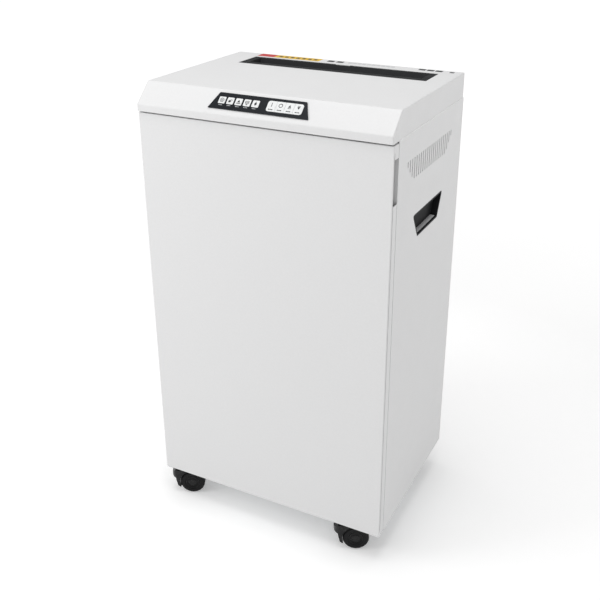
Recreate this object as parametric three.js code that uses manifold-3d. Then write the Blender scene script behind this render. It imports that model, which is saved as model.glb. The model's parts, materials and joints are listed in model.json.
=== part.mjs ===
// Cabinet paper shredder on casters: folded sheet-metal cabinet with a hinged door, a cutter head
// under a feed slot in the hood, a gear motor, a waste bin and four swivel casters.
// Millimetres, +X to the right, +Y to the back, +Z up. The origin is on the floor under the middle.

import * as THREE from 'three';
import { mergeVertices } from 'three/addons/utils/BufferGeometryUtils.js';
import Module from 'manifold-3d';

const wasm = await Module();
wasm.setup();

// ---------------------------------------------------------------- driving dimensions

// Overall
const cabinet_width = 471;
const overall_depth = 344.5;
const overall_height = 850;

// Clearances
const seat_gap = 0.3;            // between pieces that touch or are screwed together
const swing_gap = 1;             // between the door and the cabinet
const turn_gap = 0.4;            // round a turning shaft
const key_gap = 0.3;             // round a key or a light window

// Sheet metal
const sheet = 1.5;
const door_sheet = 1.2;

// Cabinet
const cabinet_bottom = 60;
const side_flange = 16;
const rear_inset = 4;            // rear panel's face inside the side panels' rear edges
const base_flange = 25;
const deck_drop = 141.2;           // deck's underside below the hood seam
const deck_flange = 15;

// Hood
const hood_height = 45.8;          // from the hood seam to the top
const lip_overhang = 3.7;        // hood lip in front of the door's face
const lip_height = 12.4;
const slope_run = 34.5;          // horizontal run of the sloping front of the hood

// Door
const door_depth = 19.4;
const door_side_inset = 0.35;
const door_top_gap = 2.7;
const hinge_pin_radius = 2;
const hinge_side_inset = 4;      // pin axis inside the cabinet's left face
const hinge_back_inset = 10;     // pin axis in front of the door's rear edge
const door_swing = 110;
const pull_drop = 25.2;            // finger pull's top below the hood seam
const pull_length = 75;
const pull_rest = 4;             // width of the return left beside the finger pull
const catch_inset = 65.5;          // catch's middle inside the cabinet's right face
const catch_half = 20;
const catch_drop = 12;             // catch below the deck
const catch_air = 0.5;             // between the magnet and its strike plate
const door_switch_inset = 85.5;    // door switch's middle inside the left face
const door_switch_rise = 35;       // above the deck's underside
const bracket_sheet = 1.5;
const pin_length = 7;

// Side grips
const grip_drop = 6;             // grip's upper edge below the deck's underside
const grip_height = 44.5;
const grip_top_front = 98;       // distances behind the door's face
const grip_top_rear = 246;
const grip_bottom_front = 123;
const grip_bottom_rear = 225;
const grip_depth = 15;
const grip_wall = 3;
const grip_flange = 5;

// Side vents
const vent_count = 22;
const vent_first = 62.6;         // first slot's distance behind the door's face
const vent_last = 277;
const vent_drop = 44.2;            // vents' upper ends below the hood seam
const vent_width = 3.5;
const vent_end_length = 10;
const vent_length = 36;

// Feed slot and throat
const slot_centre_x = 10;
const slot_depth = 68;
const slot_front = 238;          // slot's front edge behind the door's face
const mouth_front_rim = 18;
const mouth_rear_rim = 6;
const mouth_side_rim = 14;
const funnel_depth = 26;
const feed_side_room = 74.5;       // each side, between the feed and the cabinet's outside
const funnel_flare = 12;           // each end of the mouth beyond the feed
const feed_gap = 8;
const throat_wall = 3;
const throat_flange = 8;

// Control panel on the slope
const panel_centre_x = -2.5;
const panel_bottom_width = 184.5;
const panel_top_width = 159.5;
const panel_low = 10;            // distances up the slope
const panel_high = 41;
const panel_thickness = 1.2;
const light_count = 5;
const light_first_x = -73.3;
const light_pitch = 15.7;
const light_width = 12.6;
const light_low = 20.2;
const light_high = 33.2;
const key_names = ['key_start', 'key_stop', 'key_reverse', 'key_forward'];
const key_block_left = 11;
const key_block_width = 64;
const key_low = 16.2;
const key_high = 35.8;
const key_proud = 0.4;
const key_travel = 0.6;
const key_height = 4.4;
const board_drop = 6;            // control board below the slope's outer face
const board_thickness = 1.6;

// Cutter head
const cutter_rise = 70;            // shafts above the deck's underside
const cutter_radius = 31;
const cutter_core = 20;
const disc_pitch = 20;
const disc_width = 8;
const journal_radius = 10;
const head_end_gap = 1;            // between the throat's wall and a head plate
const head_plate = 5;
const head_rise = 65;              // head plates' top above the shafts
const head_front = 212;          // head plates' front edge behind the door's face
const head_rear = 334;
const motor_plate_front = 60;
const head_foot = 20;
const tie_rod_radius = 6;
const tie_rod_drop = 12;           // tie rods below the head plates' top
const tie_rod_inset = 10;
const comb_thickness = 8;
const comb_width = 16;
const comb_drop = 4;             // comb bar below the discs
const comb_finger = 8;

// Gear train, right of the head
const gear_module = 3;
const sync_teeth = 18;
const idler_teeth = 30;
const pinion_teeth = 12;
const gear_width = 12;
const gear_side_gap = 3;
const tooth_addendum = 0.8;      // in modules
const tooth_dedendum = 1.15;
const tooth_backlash = 0.18;
const pressure_angle = 25;
const idler_direction = 172;     // degrees, from the front cutter to the idler
const pinion_direction = 196;    // degrees, from the idler to the motor
const idler_bore = 8;
const gear_end = 2;                // shaft ends beyond the gears

// Motor and electrics
const motor_radius = 42;
const motor_length = 150;
const motor_shaft = 8;
const capacitor_radius = 20;
const capacitor_length = 80;
const capacitor_left = -140;
const capacitor_back = 165;        // behind the door's face
const rear_fitting_inset = 37.5;   // inlet and switch, inside the cabinet's left face
const inlet_rise = 45;             // inlet's middle above the deck's underside
const main_switch_rise = 95;
const cover_gap = 4.2;             // mechanism cover's top below the hood seam

// Chip chute and bin
const comb_chute_gap = 6;          // between the combs and the top of the chute
const chute_drop = 15;             // chute's lower end below the deck
const chute_end_gap = 3;
const chute_side_gap = 6;
const chute_wall = 1.5;
const bin_side_room = 30.5;        // between the bin and the cabinet's outside
const bin_front_room = 6;
const bin_rear_room = 15.3;
const bin_headroom = 9.2;          // between the bin's rim and the deck's flange
const bin_wall = 2.5;
const bin_rim = 8;
const bin_taper = 12;            // each side, from the rim to the floor

// Casters
const wheel_radius = 25;
const wheel_width = 17;
const web_width = 6;             // housing between the two wheels
const wheel_side_gap = 0.5;
const axle_radius = 4;
const tread_gap = 1.5;
const caster_inset_x = 51.5;     // kingpin inside the cabinet's side
const caster_inset_y = 38;       // kingpin behind the door's face
const caster_trail = 10;
const caster_turn = 25;          // degrees
const caster_housing_top = 54.5;
const caster_skirt = 38;
const caster_nose_tip = 14;
const caster_front_reach = 36;
const caster_nose_reach = 42.5;
const kingpin_radius = 5;
const caster_plate = 3;
const caster_plate_width = 70;
const caster_plate_depth = 62;
const race_gap = 0.5;

// ---------------------------------------------------------------- derived places

const seam_height = overall_height - hood_height;
const deck_height = seam_height - deck_drop;
const cutter_height = deck_height + cutter_rise;
const head_top = cutter_height + head_rise;
const tie_rod_height = head_top - tie_rod_drop;
const half_width = cabinet_width / 2;
const front_y = -overall_depth / 2;
const rear_y = overall_depth / 2;
const door_face = front_y + lip_overhang;
const body_front = door_face + door_depth + swing_gap;
const body_top = seam_height - seat_gap;
const rear_face = rear_y - rear_inset;
const inner_half = half_width - sheet - seat_gap;
const bay_front = body_front + sheet + seat_gap;
const bay_rear = rear_face - sheet - seat_gap;
const slope_rise = overall_height - seam_height - lip_height;
const slope_angle = Math.atan2(slope_rise, slope_run);
const deck_top = deck_height + sheet;
const base_bottom = caster_housing_top + race_gap + caster_plate + seat_gap;
const base_top = base_bottom + sheet;
const feed_width = cabinet_width - 2 * feed_side_room;
const slot_length = feed_width + 2 * (funnel_flare + mouth_side_rim);
const head_width = feed_width + 2 * (throat_wall + head_end_gap);
const disc_count = Math.floor(head_width / disc_pitch);
const cutter_spacing = sync_teeth * gear_module;
const comb_bottom = cutter_height - cutter_radius - comb_drop - comb_thickness;
const slot_y = door_face + slot_front + slot_depth / 2;
const front_shaft_y = slot_y - cutter_spacing / 2;
const rear_shaft_y = slot_y + cutter_spacing / 2;
const head_left = slot_centre_x - head_width / 2;
const head_right = slot_centre_x + head_width / 2;
const gear_x = head_right + head_plate + gear_side_gap;

// ---------------------------------------------------------------- materials

function finish(colour, roughness, metalness) {
  return new THREE.MeshStandardMaterial({ color: colour, roughness, metalness });
}

const white_paint = finish(0xe6e6e6, 0.5, 0.1);
const black_plastic = finish(0x1d1f20, 0.45, 0);
const grey_plastic = finish(0x8d9194, 0.5, 0);
const white_plastic = finish(0xf1f1ee, 0.35, 0);
const dark_plastic = finish(0x2c3033, 0.35, 0);
const galvanised = finish(0xa9adb0, 0.4, 0.8);
const bright_steel = finish(0xb9bcc0, 0.25, 0.9);
const hard_steel = finish(0x74787c, 0.35, 0.9);
const motor_paint = finish(0x3a3f44, 0.5, 0.3);
const board_green = finish(0x1f6b3a, 0.5, 0.1);
const capacitor_can = finish(0xd8d8d4, 0.3, 0.3);
const tread_black = finish(0x151515, 0.6, 0);

// ---------------------------------------------------------------- shape helpers

const along_x = new THREE.Matrix4().makeBasis(
  new THREE.Vector3(0, 1, 0), new THREE.Vector3(0, 0, 1), new THREE.Vector3(1, 0, 0));

function box(x0, x1, y0, y1, z0, z1) {
  const geometry = new THREE.BoxGeometry(x1 - x0, y1 - y0, z1 - z0);
  return geometry.translate((x0 + x1) / 2, (y0 + y1) / 2, (z0 + z1) / 2);
}

function outline(points) {
  return new THREE.Shape(points.map(([a, b]) => new THREE.Vector2(a, b)));
}

function extrude(shape, from, to) {
  const geometry = new THREE.ExtrudeGeometry(shape, { depth: to - from, bevelEnabled: false });
  return geometry.translate(0, 0, from);
}

// A prism whose outline is given as (y, z) points and runs along X.
function prismX(points, from, to) {
  return extrude(outline(points), from, to).applyMatrix4(along_x);
}

// A prism whose outline is given as (x, y) points and runs along Z.
function prismZ(points, from, to) {
  return extrude(outline(points), from, to);
}

function cylinderX(radius, from, to, y, z, sides = 20) {
  const geometry = new THREE.CylinderGeometry(radius, radius, to - from, sides);
  return geometry.rotateZ(Math.PI / 2).translate((from + to) / 2, y, z);
}

function cylinderZ(radius, from, to, x, y, sides = 20) {
  const geometry = new THREE.CylinderGeometry(radius, radius, to - from, sides);
  return geometry.rotateX(Math.PI / 2).translate(x, y, (from + to) / 2);
}

// A turned piece along X from (position, radius) steps.
function turnedX(steps, y, z, sides) {
  const profile = steps.map(([x, radius]) => new THREE.Vector2(radius, x));
  const geometry = new THREE.LatheGeometry(profile, sides);
  return geometry.rotateZ(-Math.PI / 2).translate(0, y, z);
}

// An outline with rounded corners.
function rounded(points, radius, steps = 3) {
  const result = [];
  points.forEach((corner, i) => {
    const before = points[(i + points.length - 1) % points.length];
    const after = points[(i + 1) % points.length];
    const here = new THREE.Vector2(...corner);
    const back = new THREE.Vector2(...before).sub(here).normalize();
    const ahead = new THREE.Vector2(...after).sub(here).normalize();
    const half = Math.acos(THREE.MathUtils.clamp(back.dot(ahead), -1, 1)) / 2;
    const reach = radius / Math.tan(half);
    const start = here.clone().addScaledVector(back, reach);
    const end = here.clone().addScaledVector(ahead, reach);
    const curve = new THREE.QuadraticBezierCurve(start, here, end);
    curve.getPoints(steps).forEach((p) => result.push([p.x, p.y]));
  });
  return result;
}

function solid(geometry) {
  const bare = geometry.clone();
  bare.deleteAttribute('normal');
  bare.deleteAttribute('uv');
  const merged = mergeVertices(bare, 1e-5);
  const mesh = new wasm.Mesh({
    numProp: 3,
    vertProperties: new Float32Array(merged.attributes.position.array),
    triVerts: new Uint32Array(merged.index.array),
  });
  return new wasm.Manifold(mesh);
}

function fromSolid(body) {
  const mesh = body.getMesh();
  const geometry = new THREE.BufferGeometry();
  geometry.setAttribute('position', new THREE.BufferAttribute(new Float32Array(mesh.vertProperties), 3));
  geometry.setIndex(new THREE.BufferAttribute(new Uint32Array(mesh.triVerts), 1));
  return geometry;
}

function joined(...geometries) {
  return geometries.map(solid).reduce((sum, next) => sum.add(next));
}

function cut(body, ...geometries) {
  return geometries.map(solid).reduce((left, next) => left.subtract(next), body);
}

function piece(name, shape, material) {
  const geometry = shape instanceof THREE.BufferGeometry ? shape : fromSolid(shape);
  geometry.computeVertexNormals();
  const mesh = new THREE.Mesh(geometry, material);
  mesh.name = name;
  return mesh;
}

const shredder = new THREE.Group();

// ---------------------------------------------------------------- cabinet

function gripOutline(grow) {
  const y = (distance) => door_face + distance;
  const grip_top = deck_height - grip_drop;
  const grip_bottom = grip_top - grip_height;
  return rounded([
    [y(grip_bottom_front) - grow * 0.6, grip_bottom - grow],
    [y(grip_bottom_rear) + grow * 0.6, grip_bottom - grow],
    [y(grip_top_rear) + grow * 1.5, grip_top + grow],
    [y(grip_top_front) - grow * 1.5, grip_top + grow],
  ], 4 + Math.max(grow, -2.5));
}

function ventSlots(outer_x, inner_x) {
  const pitch = (vent_last - vent_first) / (vent_count - 1);
  const vent_top = seam_height - vent_drop;
  const slots = [];
  for (let i = 0; i < vent_count; i++) {
    const steps_in = Math.min(i, vent_count - 1 - i);
    const length = Math.min(vent_length, vent_end_length + steps_in * pitch);
    const middle = door_face + vent_first + i * pitch;
    slots.push(box(inner_x, outer_x, middle - vent_width / 2, middle + vent_width / 2,
      vent_top - length, vent_top));
  }
  return slots;
}

function sidePanel(side) {
  const skin = box(half_width - sheet, half_width, body_front, rear_y, cabinet_bottom, body_top);
  const flange = box(half_width - side_flange, half_width, body_front, body_front + sheet,
    cabinet_bottom + sheet, seam_height - side_flange / 4);
  const openings = ventSlots(half_width + 1, half_width - sheet - 1);
  openings.push(prismX(gripOutline(seat_gap), half_width - sheet - 1, half_width + 1));
  const panel = cut(joined(skin, flange), ...openings);
  return side > 0 ? panel : panel.mirror([1, 0, 0]);
}

shredder.add(piece('side_panel_right', sidePanel(1), white_paint));
shredder.add(piece('side_panel_left', sidePanel(-1), white_paint));

function gripCup(side) {
  const outer = prismX(gripOutline(0), half_width - grip_depth, half_width);
  const flange_outer = half_width - sheet - seat_gap;
  const flange = prismX(gripOutline(grip_flange), flange_outer - grip_wall, flange_outer);
  const hollow = prismX(gripOutline(-grip_wall), half_width - grip_depth + grip_wall, half_width + 1);
  const cup = cut(joined(outer, flange), hollow);
  return side > 0 ? cup : cup.mirror([1, 0, 0]);
}

shredder.add(piece('grip_cup_right', gripCup(1), black_plastic));
shredder.add(piece('grip_cup_left', gripCup(-1), black_plastic));

const rear_fitting_x = -half_width + rear_fitting_inset;
const inlet = { x: rear_fitting_x, z: deck_height + inlet_rise,
  width: 48, height: 28, depth: 25, flange: 3, lip: 2.5 };
const main_switch = { x: rear_fitting_x, z: deck_height + main_switch_rise,
  width: 28, height: 20, depth: 16, flange: 2.5, lip: 2 };

function rearOpening(item) {
  return box(item.x - item.width / 2 - seat_gap, item.x + item.width / 2 + seat_gap,
    rear_face - sheet - 1, rear_face + 1,
    item.z - item.height / 2 - seat_gap, item.z + item.height / 2 + seat_gap);
}

const rear_skin = box(-inner_half, inner_half, rear_face - sheet, rear_face, cabinet_bottom, body_top);
shredder.add(piece('rear_panel',
  cut(solid(rear_skin), rearOpening(inlet), rearOpening(main_switch)), white_paint));

shredder.add(piece('base_pan', joined(
  box(-inner_half, inner_half, bay_front, bay_rear, base_bottom, base_top),
  box(-inner_half, inner_half, bay_front, bay_front + sheet, base_bottom, base_bottom + base_flange),
  box(-inner_half, inner_half, bay_rear - sheet, bay_rear, base_bottom, base_bottom + base_flange),
  box(-inner_half, -inner_half + sheet, bay_front, bay_rear, base_bottom, base_bottom + base_flange),
  box(inner_half - sheet, inner_half, bay_front, bay_rear, base_bottom, base_bottom + base_flange),
), galvanised));

const chute_half_length = head_width / 2 - chute_end_gap;
const chute_half_depth = cutter_spacing / 2 + cutter_radius - chute_side_gap;
const chute_top = comb_bottom - comb_chute_gap;
const chute_bottom = deck_height - chute_drop;

function chuteBlock(grow, from, to) {
  return box(slot_centre_x - chute_half_length - grow, slot_centre_x + chute_half_length + grow,
    slot_y - chute_half_depth - grow, slot_y + chute_half_depth + grow, from, to);
}

shredder.add(piece('mechanism_deck', cut(joined(
  box(-inner_half, inner_half, bay_front, bay_rear, deck_height, deck_top),
  box(-inner_half, inner_half, bay_front, bay_front + sheet, deck_height - deck_flange, deck_top),
), chuteBlock(seat_gap, deck_height - 1, deck_top + 1)), galvanised));

shredder.add(piece('chip_chute',
  cut(solid(chuteBlock(0, chute_bottom, chute_top)),
    chuteBlock(-chute_wall, chute_bottom - 1, chute_top + 1)), galvanised));

shredder.add(piece('mechanism_cover', box(-inner_half, inner_half, bay_front, bay_front + sheet,
  deck_top + seat_gap, seam_height - cover_gap), galvanised));

// ---------------------------------------------------------------- hood

function hoodOutline(inset, bottom) {
  const corner = inset * Math.tan(slope_angle / 2);
  const brow = inset * Math.tan((Math.PI / 2 - slope_angle) / 2);
  return [
    [front_y + inset, bottom],
    [rear_y - inset, bottom],
    [rear_y - inset, overall_height - inset],
    [front_y + slope_run + corner, overall_height - inset],
    [front_y + inset, seam_height + lip_height - brow],
  ];
}

// Pieces on the sloping front sit in a group whose local Y runs up the slope and Z points out of it.
const slope = new THREE.Group();
slope.position.set(0, front_y, seam_height + lip_height);
slope.rotation.x = slope_angle;
slope.updateMatrixWorld();
shredder.add(slope);

const light_last_x = light_first_x + (light_count - 1) * light_pitch;
const key_block_right = key_block_left + key_block_width;
const window_margin = 2;
const panel_window = box(light_first_x - light_width / 2 - window_margin, key_block_right + window_margin,
  key_low - window_margin, key_high + window_margin, -sheet - 2, 2).applyMatrix4(slope.matrixWorld);

function slotBlock(grow, from, to) {
  return box(slot_centre_x - slot_length / 2 - grow, slot_centre_x + slot_length / 2 + grow,
    slot_y - slot_depth / 2 - grow, slot_y + slot_depth / 2 + grow, from, to);
}

shredder.add(piece('hood', cut(
  solid(prismX(hoodOutline(0, seam_height), -half_width, half_width)),
  prismX(hoodOutline(sheet, seam_height - 1), -half_width + sheet, half_width - sheet),
  slotBlock(0, overall_height - sheet - 1, overall_height + 1),
  panel_window,
), white_paint));

// ---------------------------------------------------------------- feed throat

const throat_rim_top = overall_height - seat_gap;
const throat_bottom = cutter_height + cutter_radius + 6;
const funnel_bottom = overall_height - funnel_depth;
const flange_top = overall_height - sheet - seat_gap;

function funnel() {
  const front = slot_y - slot_depth / 2 + mouth_front_rim;
  const rear = slot_y + slot_depth / 2 - mouth_rear_rim;
  const half_top = slot_length / 2 - mouth_side_rim;
  const half_low = feed_width / 2;
  const top = overall_height + 1;
  const corners = [
    [slot_centre_x - half_top, front, top], [slot_centre_x + half_top, front, top],
    [slot_centre_x + half_top, rear, top], [slot_centre_x - half_top, rear, top],
    [slot_centre_x - half_low, slot_y - feed_gap / 2, funnel_bottom],
    [slot_centre_x + half_low, slot_y - feed_gap / 2, funnel_bottom],
    [slot_centre_x + half_low, slot_y + feed_gap / 2, funnel_bottom],
    [slot_centre_x - half_low, slot_y + feed_gap / 2, funnel_bottom],
  ];
  const geometry = new THREE.BufferGeometry();
  geometry.setAttribute('position', new THREE.BufferAttribute(new Float32Array(corners.flat()), 3));
  geometry.setIndex([0, 1, 2, 0, 2, 3, 4, 6, 5, 4, 7, 6,
    0, 5, 1, 0, 4, 5, 1, 6, 2, 1, 5, 6, 2, 7, 3, 2, 6, 7, 3, 4, 0, 3, 7, 4]);
  return geometry;
}

function feedBlock(grow, from, to) {
  return box(slot_centre_x - feed_width / 2 - grow, slot_centre_x + feed_width / 2 + grow,
    slot_y - feed_gap / 2 - grow, slot_y + feed_gap / 2 + grow, from, to);
}

shredder.add(piece('feed_throat', cut(joined(
  slotBlock(-seat_gap, funnel_bottom - throat_wall, throat_rim_top),
  slotBlock(throat_flange, flange_top - throat_wall, flange_top),
  feedBlock(throat_wall, throat_bottom, funnel_bottom),
), funnel(), feedBlock(0, throat_bottom - 1, funnel_bottom + 1)), black_plastic));

const sensor_height = 16;
const sensor_drop = 23;            // sensor's top below the funnel
const sensor_y = slot_y + feed_gap / 2 + throat_wall + seat_gap;
const sensor_z = funnel_bottom - throat_wall - sensor_drop - sensor_height;
shredder.add(piece('paper_sensor', box(slot_centre_x - 6, slot_centre_x + 6,
  sensor_y, sensor_y + 9, sensor_z, sensor_z + sensor_height), dark_plastic));

// ---------------------------------------------------------------- control panel

const light_lefts = Array.from({ length: light_count },
  (_, i) => light_first_x + i * light_pitch - light_width / 2);
const key_pitch = key_block_width / key_names.length;
const panel_face = seat_gap + panel_thickness;

const panel_plate = prismZ([
  [panel_centre_x - panel_bottom_width / 2, panel_low],
  [panel_centre_x + panel_bottom_width / 2, panel_low],
  [panel_centre_x + panel_top_width / 2, panel_high],
  [panel_centre_x - panel_top_width / 2, panel_high],
], seat_gap, panel_face);
const light_windows = light_lefts.map((left) => box(left - key_gap, left + light_width + key_gap,
  light_low - key_gap, light_high + key_gap, -1, panel_face + 1));
const key_window = box(key_block_left - key_gap, key_block_right + key_gap,
  key_low - key_gap, key_high + key_gap, -1, panel_face + 1);
slope.add(piece('control_panel', cut(solid(panel_plate), ...light_windows, key_window), dark_plastic));

const guide_bar_top = -sheet - 1;
const guide_bar_bottom = guide_bar_top - 2;
slope.add(piece('light_guide', joined(
  box(light_lefts[0], light_lefts[light_count - 1] + light_width, light_low + 1, light_high - 1,
    guide_bar_bottom, guide_bar_top),
  ...light_lefts.map((left) => box(left, left + light_width, light_low, light_high,
    guide_bar_top - 0.5, panel_face)),
), white_plastic));

key_names.forEach((name, i) => {
  const left = key_block_left + i * key_pitch;
  const top = panel_face + key_proud;
  slope.add(piece(name, box(left + key_gap / 2, left + key_pitch - key_gap / 2,
    key_low, key_high, top - key_height, top), white_plastic));
});

const board_top = -board_drop;
const tact_top = panel_face + key_proud - key_height - key_travel - key_gap;
slope.add(piece('control_board', joined(
  box(light_lefts[0] - 4, key_block_right + 4, key_low - 6, key_high + 6,
    board_top - board_thickness, board_top),
  ...key_names.map((_, i) => {
    const middle = key_block_left + (i + 0.5) * key_pitch;
    const centre = (key_low + key_high) / 2;
    return box(middle - 3, middle + 3, centre - 3, centre + 3, board_top - 0.5, tact_top);
  }),
), board_green));

// ---------------------------------------------------------------- inlet and main switch

function rearSocket(item, hollow) {
  const body = joined(
    box(item.x - item.width / 2, item.x + item.width / 2,
      rear_face - item.depth, rear_face + item.lip,
      item.z - item.height / 2, item.z + item.height / 2),
    box(item.x - item.width / 2 - item.flange, item.x + item.width / 2 + item.flange,
      rear_face + seat_gap, rear_face + item.lip,
      item.z - item.height / 2 - item.flange, item.z + item.height / 2 + item.flange),
  );
  return cut(body, hollow);
}

const inlet_wall = 5;
const inlet_hollow = 18;
shredder.add(piece('power_inlet', rearSocket(inlet, box(
  inlet.x - inlet.width / 2 + inlet_wall * 2, inlet.x + inlet.width / 2 - inlet_wall * 2,
  rear_face - inlet_hollow, rear_face + inlet.lip + 1,
  inlet.z - inlet.height / 2 + inlet_wall, inlet.z + inlet.height / 2 - inlet_wall)), black_plastic));

const rocker_wall = 2;
const rocker_hollow = 11;
shredder.add(piece('switch_frame', rearSocket(main_switch, box(
  main_switch.x - main_switch.width / 2 + rocker_wall, main_switch.x + main_switch.width / 2 - rocker_wall,
  rear_face - rocker_hollow, rear_face + main_switch.lip + 1,
  main_switch.z - main_switch.height / 2 + rocker_wall,
  main_switch.z + main_switch.height / 2 - rocker_wall)), black_plastic));

const rocker_tilt = 8;
const rocker_pivot_y = rear_face - 5;
const rocker_half_width = main_switch.width / 2 - rocker_wall - 2 * key_gap;
const rocker_half_height = main_switch.height / 2 - rocker_wall - 4 * key_gap;
const rocker = piece('power_rocker', prismX([
  [-4, 0], [-1, -rocker_half_height * 0.6], [5, -rocker_half_height],
  [6.5, -rocker_half_height], [5.5, 0], [6.5, rocker_half_height],
  [5, rocker_half_height], [-1, rocker_half_height * 0.6],
], -rocker_half_width, rocker_half_width), black_plastic);
rocker.position.set(main_switch.x, rocker_pivot_y, main_switch.z);
rocker.rotation.x = THREE.MathUtils.degToRad(-rocker_tilt);
shredder.add(rocker);

// ---------------------------------------------------------------- gear train

const radians = THREE.MathUtils.degToRad;
const pitchRadius = (teeth) => teeth * gear_module / 2;

// Outline of an involute spur gear with a tooth centred on the given phase angle.
function gearOutline(teeth, phase) {
  const pitch = pitchRadius(teeth);
  const base = pitch * Math.cos(radians(pressure_angle));
  const involute = (angle) => Math.tan(angle) - angle;
  const half_tooth = Math.PI / (2 * teeth) - tooth_backlash * gear_module / (2 * pitch);
  const halfAngle = (radius) => half_tooth + involute(radians(pressure_angle))
    - involute(Math.acos(Math.min(1, base / Math.max(radius, base))));
  const root = pitch - tooth_dedendum * gear_module;
  const tip = pitch + tooth_addendum * gear_module;
  const radii = [root, Math.max(base, (root + pitch) / 2), (pitch + tip) / 2, tip];
  const points = [];
  for (let i = 0; i < teeth; i++) {
    const centre = phase + i * 2 * Math.PI / teeth;
    const at = (radius, angle) => [radius * Math.cos(angle), radius * Math.sin(angle)];
    radii.forEach((radius) => points.push(at(radius, centre - halfAngle(radius))));
    [...radii].reverse().forEach((radius) => points.push(at(radius, centre + halfAngle(radius))));
  }
  return points;
}

// Phase that puts a gear in mesh with one of known phase, which lies in the opposite direction.
function meshPhase(known_teeth, known_phase, direction, teeth) {
  const known_pitches = (direction - known_phase) * known_teeth / (2 * Math.PI);
  return direction + Math.PI - (0.5 - known_pitches) * 2 * Math.PI / teeth;
}

function gear(teeth, phase, y, z, bore) {
  const shape = outline(gearOutline(teeth, phase));
  if (bore > 0) shape.holes.push(new THREE.Path().absarc(0, 0, bore, 0, 2 * Math.PI, true));
  const settings = { depth: gear_width, bevelEnabled: false, curveSegments: 6 };
  const geometry = new THREE.ExtrudeGeometry(shape, settings).applyMatrix4(along_x);
  return geometry.translate(gear_x, y, z);
}

const idler_angle = radians(idler_direction);
const pinion_angle = radians(pinion_direction);
const idler_reach = pitchRadius(sync_teeth) + pitchRadius(idler_teeth);
const pinion_reach = pitchRadius(idler_teeth) + pitchRadius(pinion_teeth);
const idler_y = front_shaft_y + idler_reach * Math.cos(idler_angle);
const idler_z = cutter_height + idler_reach * Math.sin(idler_angle);
const motor_y = idler_y + pinion_reach * Math.cos(pinion_angle);
const motor_z = idler_z + pinion_reach * Math.sin(pinion_angle);
const rear_phase = meshPhase(sync_teeth, 0, 0, sync_teeth);
const idler_phase = meshPhase(sync_teeth, 0, idler_angle, idler_teeth);
const pinion_phase = meshPhase(idler_teeth, idler_phase, pinion_angle, pinion_teeth);

const gear_bore = journal_radius + seat_gap;
shredder.add(piece('sync_gear_front',
  gear(sync_teeth, 0, front_shaft_y, cutter_height, gear_bore), hard_steel));
shredder.add(piece('sync_gear_rear',
  gear(sync_teeth, rear_phase, rear_shaft_y, cutter_height, gear_bore), hard_steel));
shredder.add(piece('idler_gear',
  gear(idler_teeth, idler_phase, idler_y, idler_z, idler_bore + turn_gap), hard_steel));

const pinion = joined(
  gear(pinion_teeth, pinion_phase, motor_y, motor_z, 0),
  cylinderX(motor_shaft, head_right + seat_gap, gear_x + gear_width + gear_end, motor_y, motor_z, 16),
);
shredder.add(piece('motor_pinion', pinion, hard_steel));

const stud_end = gear_x + gear_width + gear_end;
shredder.add(piece('idler_stud', cylinderX(idler_bore, head_right + head_plate + seat_gap, stud_end,
  idler_y, idler_z, 16), bright_steel));

// ---------------------------------------------------------------- cutter head

function cutterShaft(y, first_disc, count) {
  const left = head_left - head_plate - 3;
  const right = gear_x + gear_width + gear_end;
  const steps = [[left, 0], [left, journal_radius], [head_left + 2, journal_radius],
    [head_left + 2, cutter_core]];
  for (let i = 0; i < count; i++) {
    const middle = first_disc + i * disc_pitch;
    steps.push([middle - disc_width / 2, cutter_core], [middle - disc_width / 2, cutter_radius],
      [middle + disc_width / 2, cutter_radius], [middle + disc_width / 2, cutter_core]);
  }
  steps.push([head_right - 2, cutter_core], [head_right - 2, journal_radius],
    [right, journal_radius], [right, 0]);
  return turnedX(steps, y, cutter_height, 12);
}

const first_front_disc = slot_centre_x - (disc_count - 1) * disc_pitch / 2;
const first_rear_disc = first_front_disc + disc_pitch / 2;
shredder.add(piece('cutter_front', cutterShaft(front_shaft_y, first_front_disc, disc_count), bright_steel));
shredder.add(piece('cutter_rear', cutterShaft(rear_shaft_y, first_rear_disc, disc_count - 1), bright_steel));

// A bar under the outer half of a cutter, with fingers that reach up between its discs.
function comb(side, shaft_y, first_disc, count) {
  const bar_top = cutter_height - cutter_radius - comb_drop;
  const span = (a, b) => [Math.min(a, b), Math.max(a, b)];
  const near_y = shaft_y + side * journal_radius;
  const parts = [box(head_left + seat_gap, head_right - seat_gap,
    ...span(near_y, near_y + side * comb_width), bar_top - comb_thickness, bar_top)];
  for (let i = 0; i < count - 1; i++) {
    const middle = first_disc + (i + 0.5) * disc_pitch;
    parts.push(box(middle - comb_finger / 2, middle + comb_finger / 2,
      ...span(near_y, near_y + side * comb_width / 2), bar_top - 1, cutter_height - cutter_core - 1.5));
  }
  return joined(...parts);
}

shredder.add(piece('comb_front', comb(-1, front_shaft_y, first_front_disc, disc_count), galvanised));
shredder.add(piece('comb_rear', comb(1, rear_shaft_y, first_rear_disc, disc_count - 1), galvanised));

function headPlate(inner_x, side, front) {
  const outer_x = inner_x + side * head_plate;
  const foot_x = outer_x + side * head_foot;
  const low = deck_top + seat_gap;
  const span = (a, b) => [Math.min(a, b), Math.max(a, b)];
  const y0 = door_face + front;
  const y1 = door_face + head_rear;
  const plate = joined(
    box(...span(inner_x, outer_x), y0, y1, low, head_top),
    box(...span(inner_x, foot_x), y0, y1, low, low + head_plate),
  );
  const [x0, x1] = span(inner_x, outer_x);
  const holes = [front_shaft_y, rear_shaft_y].map((y) =>
    cylinderX(journal_radius + turn_gap, x0 - 1, x1 + 1, y, cutter_height));
  if (side > 0) {
    holes.push(cylinderX(motor_shaft + turn_gap, x0 - 1, x1 + 1, motor_y, motor_z));
  }
  return cut(plate, ...holes);
}

shredder.add(piece('head_plate_left', headPlate(head_left, -1, head_front), galvanised));
shredder.add(piece('head_plate_right', headPlate(head_right, 1, motor_plate_front), galvanised));

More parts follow.
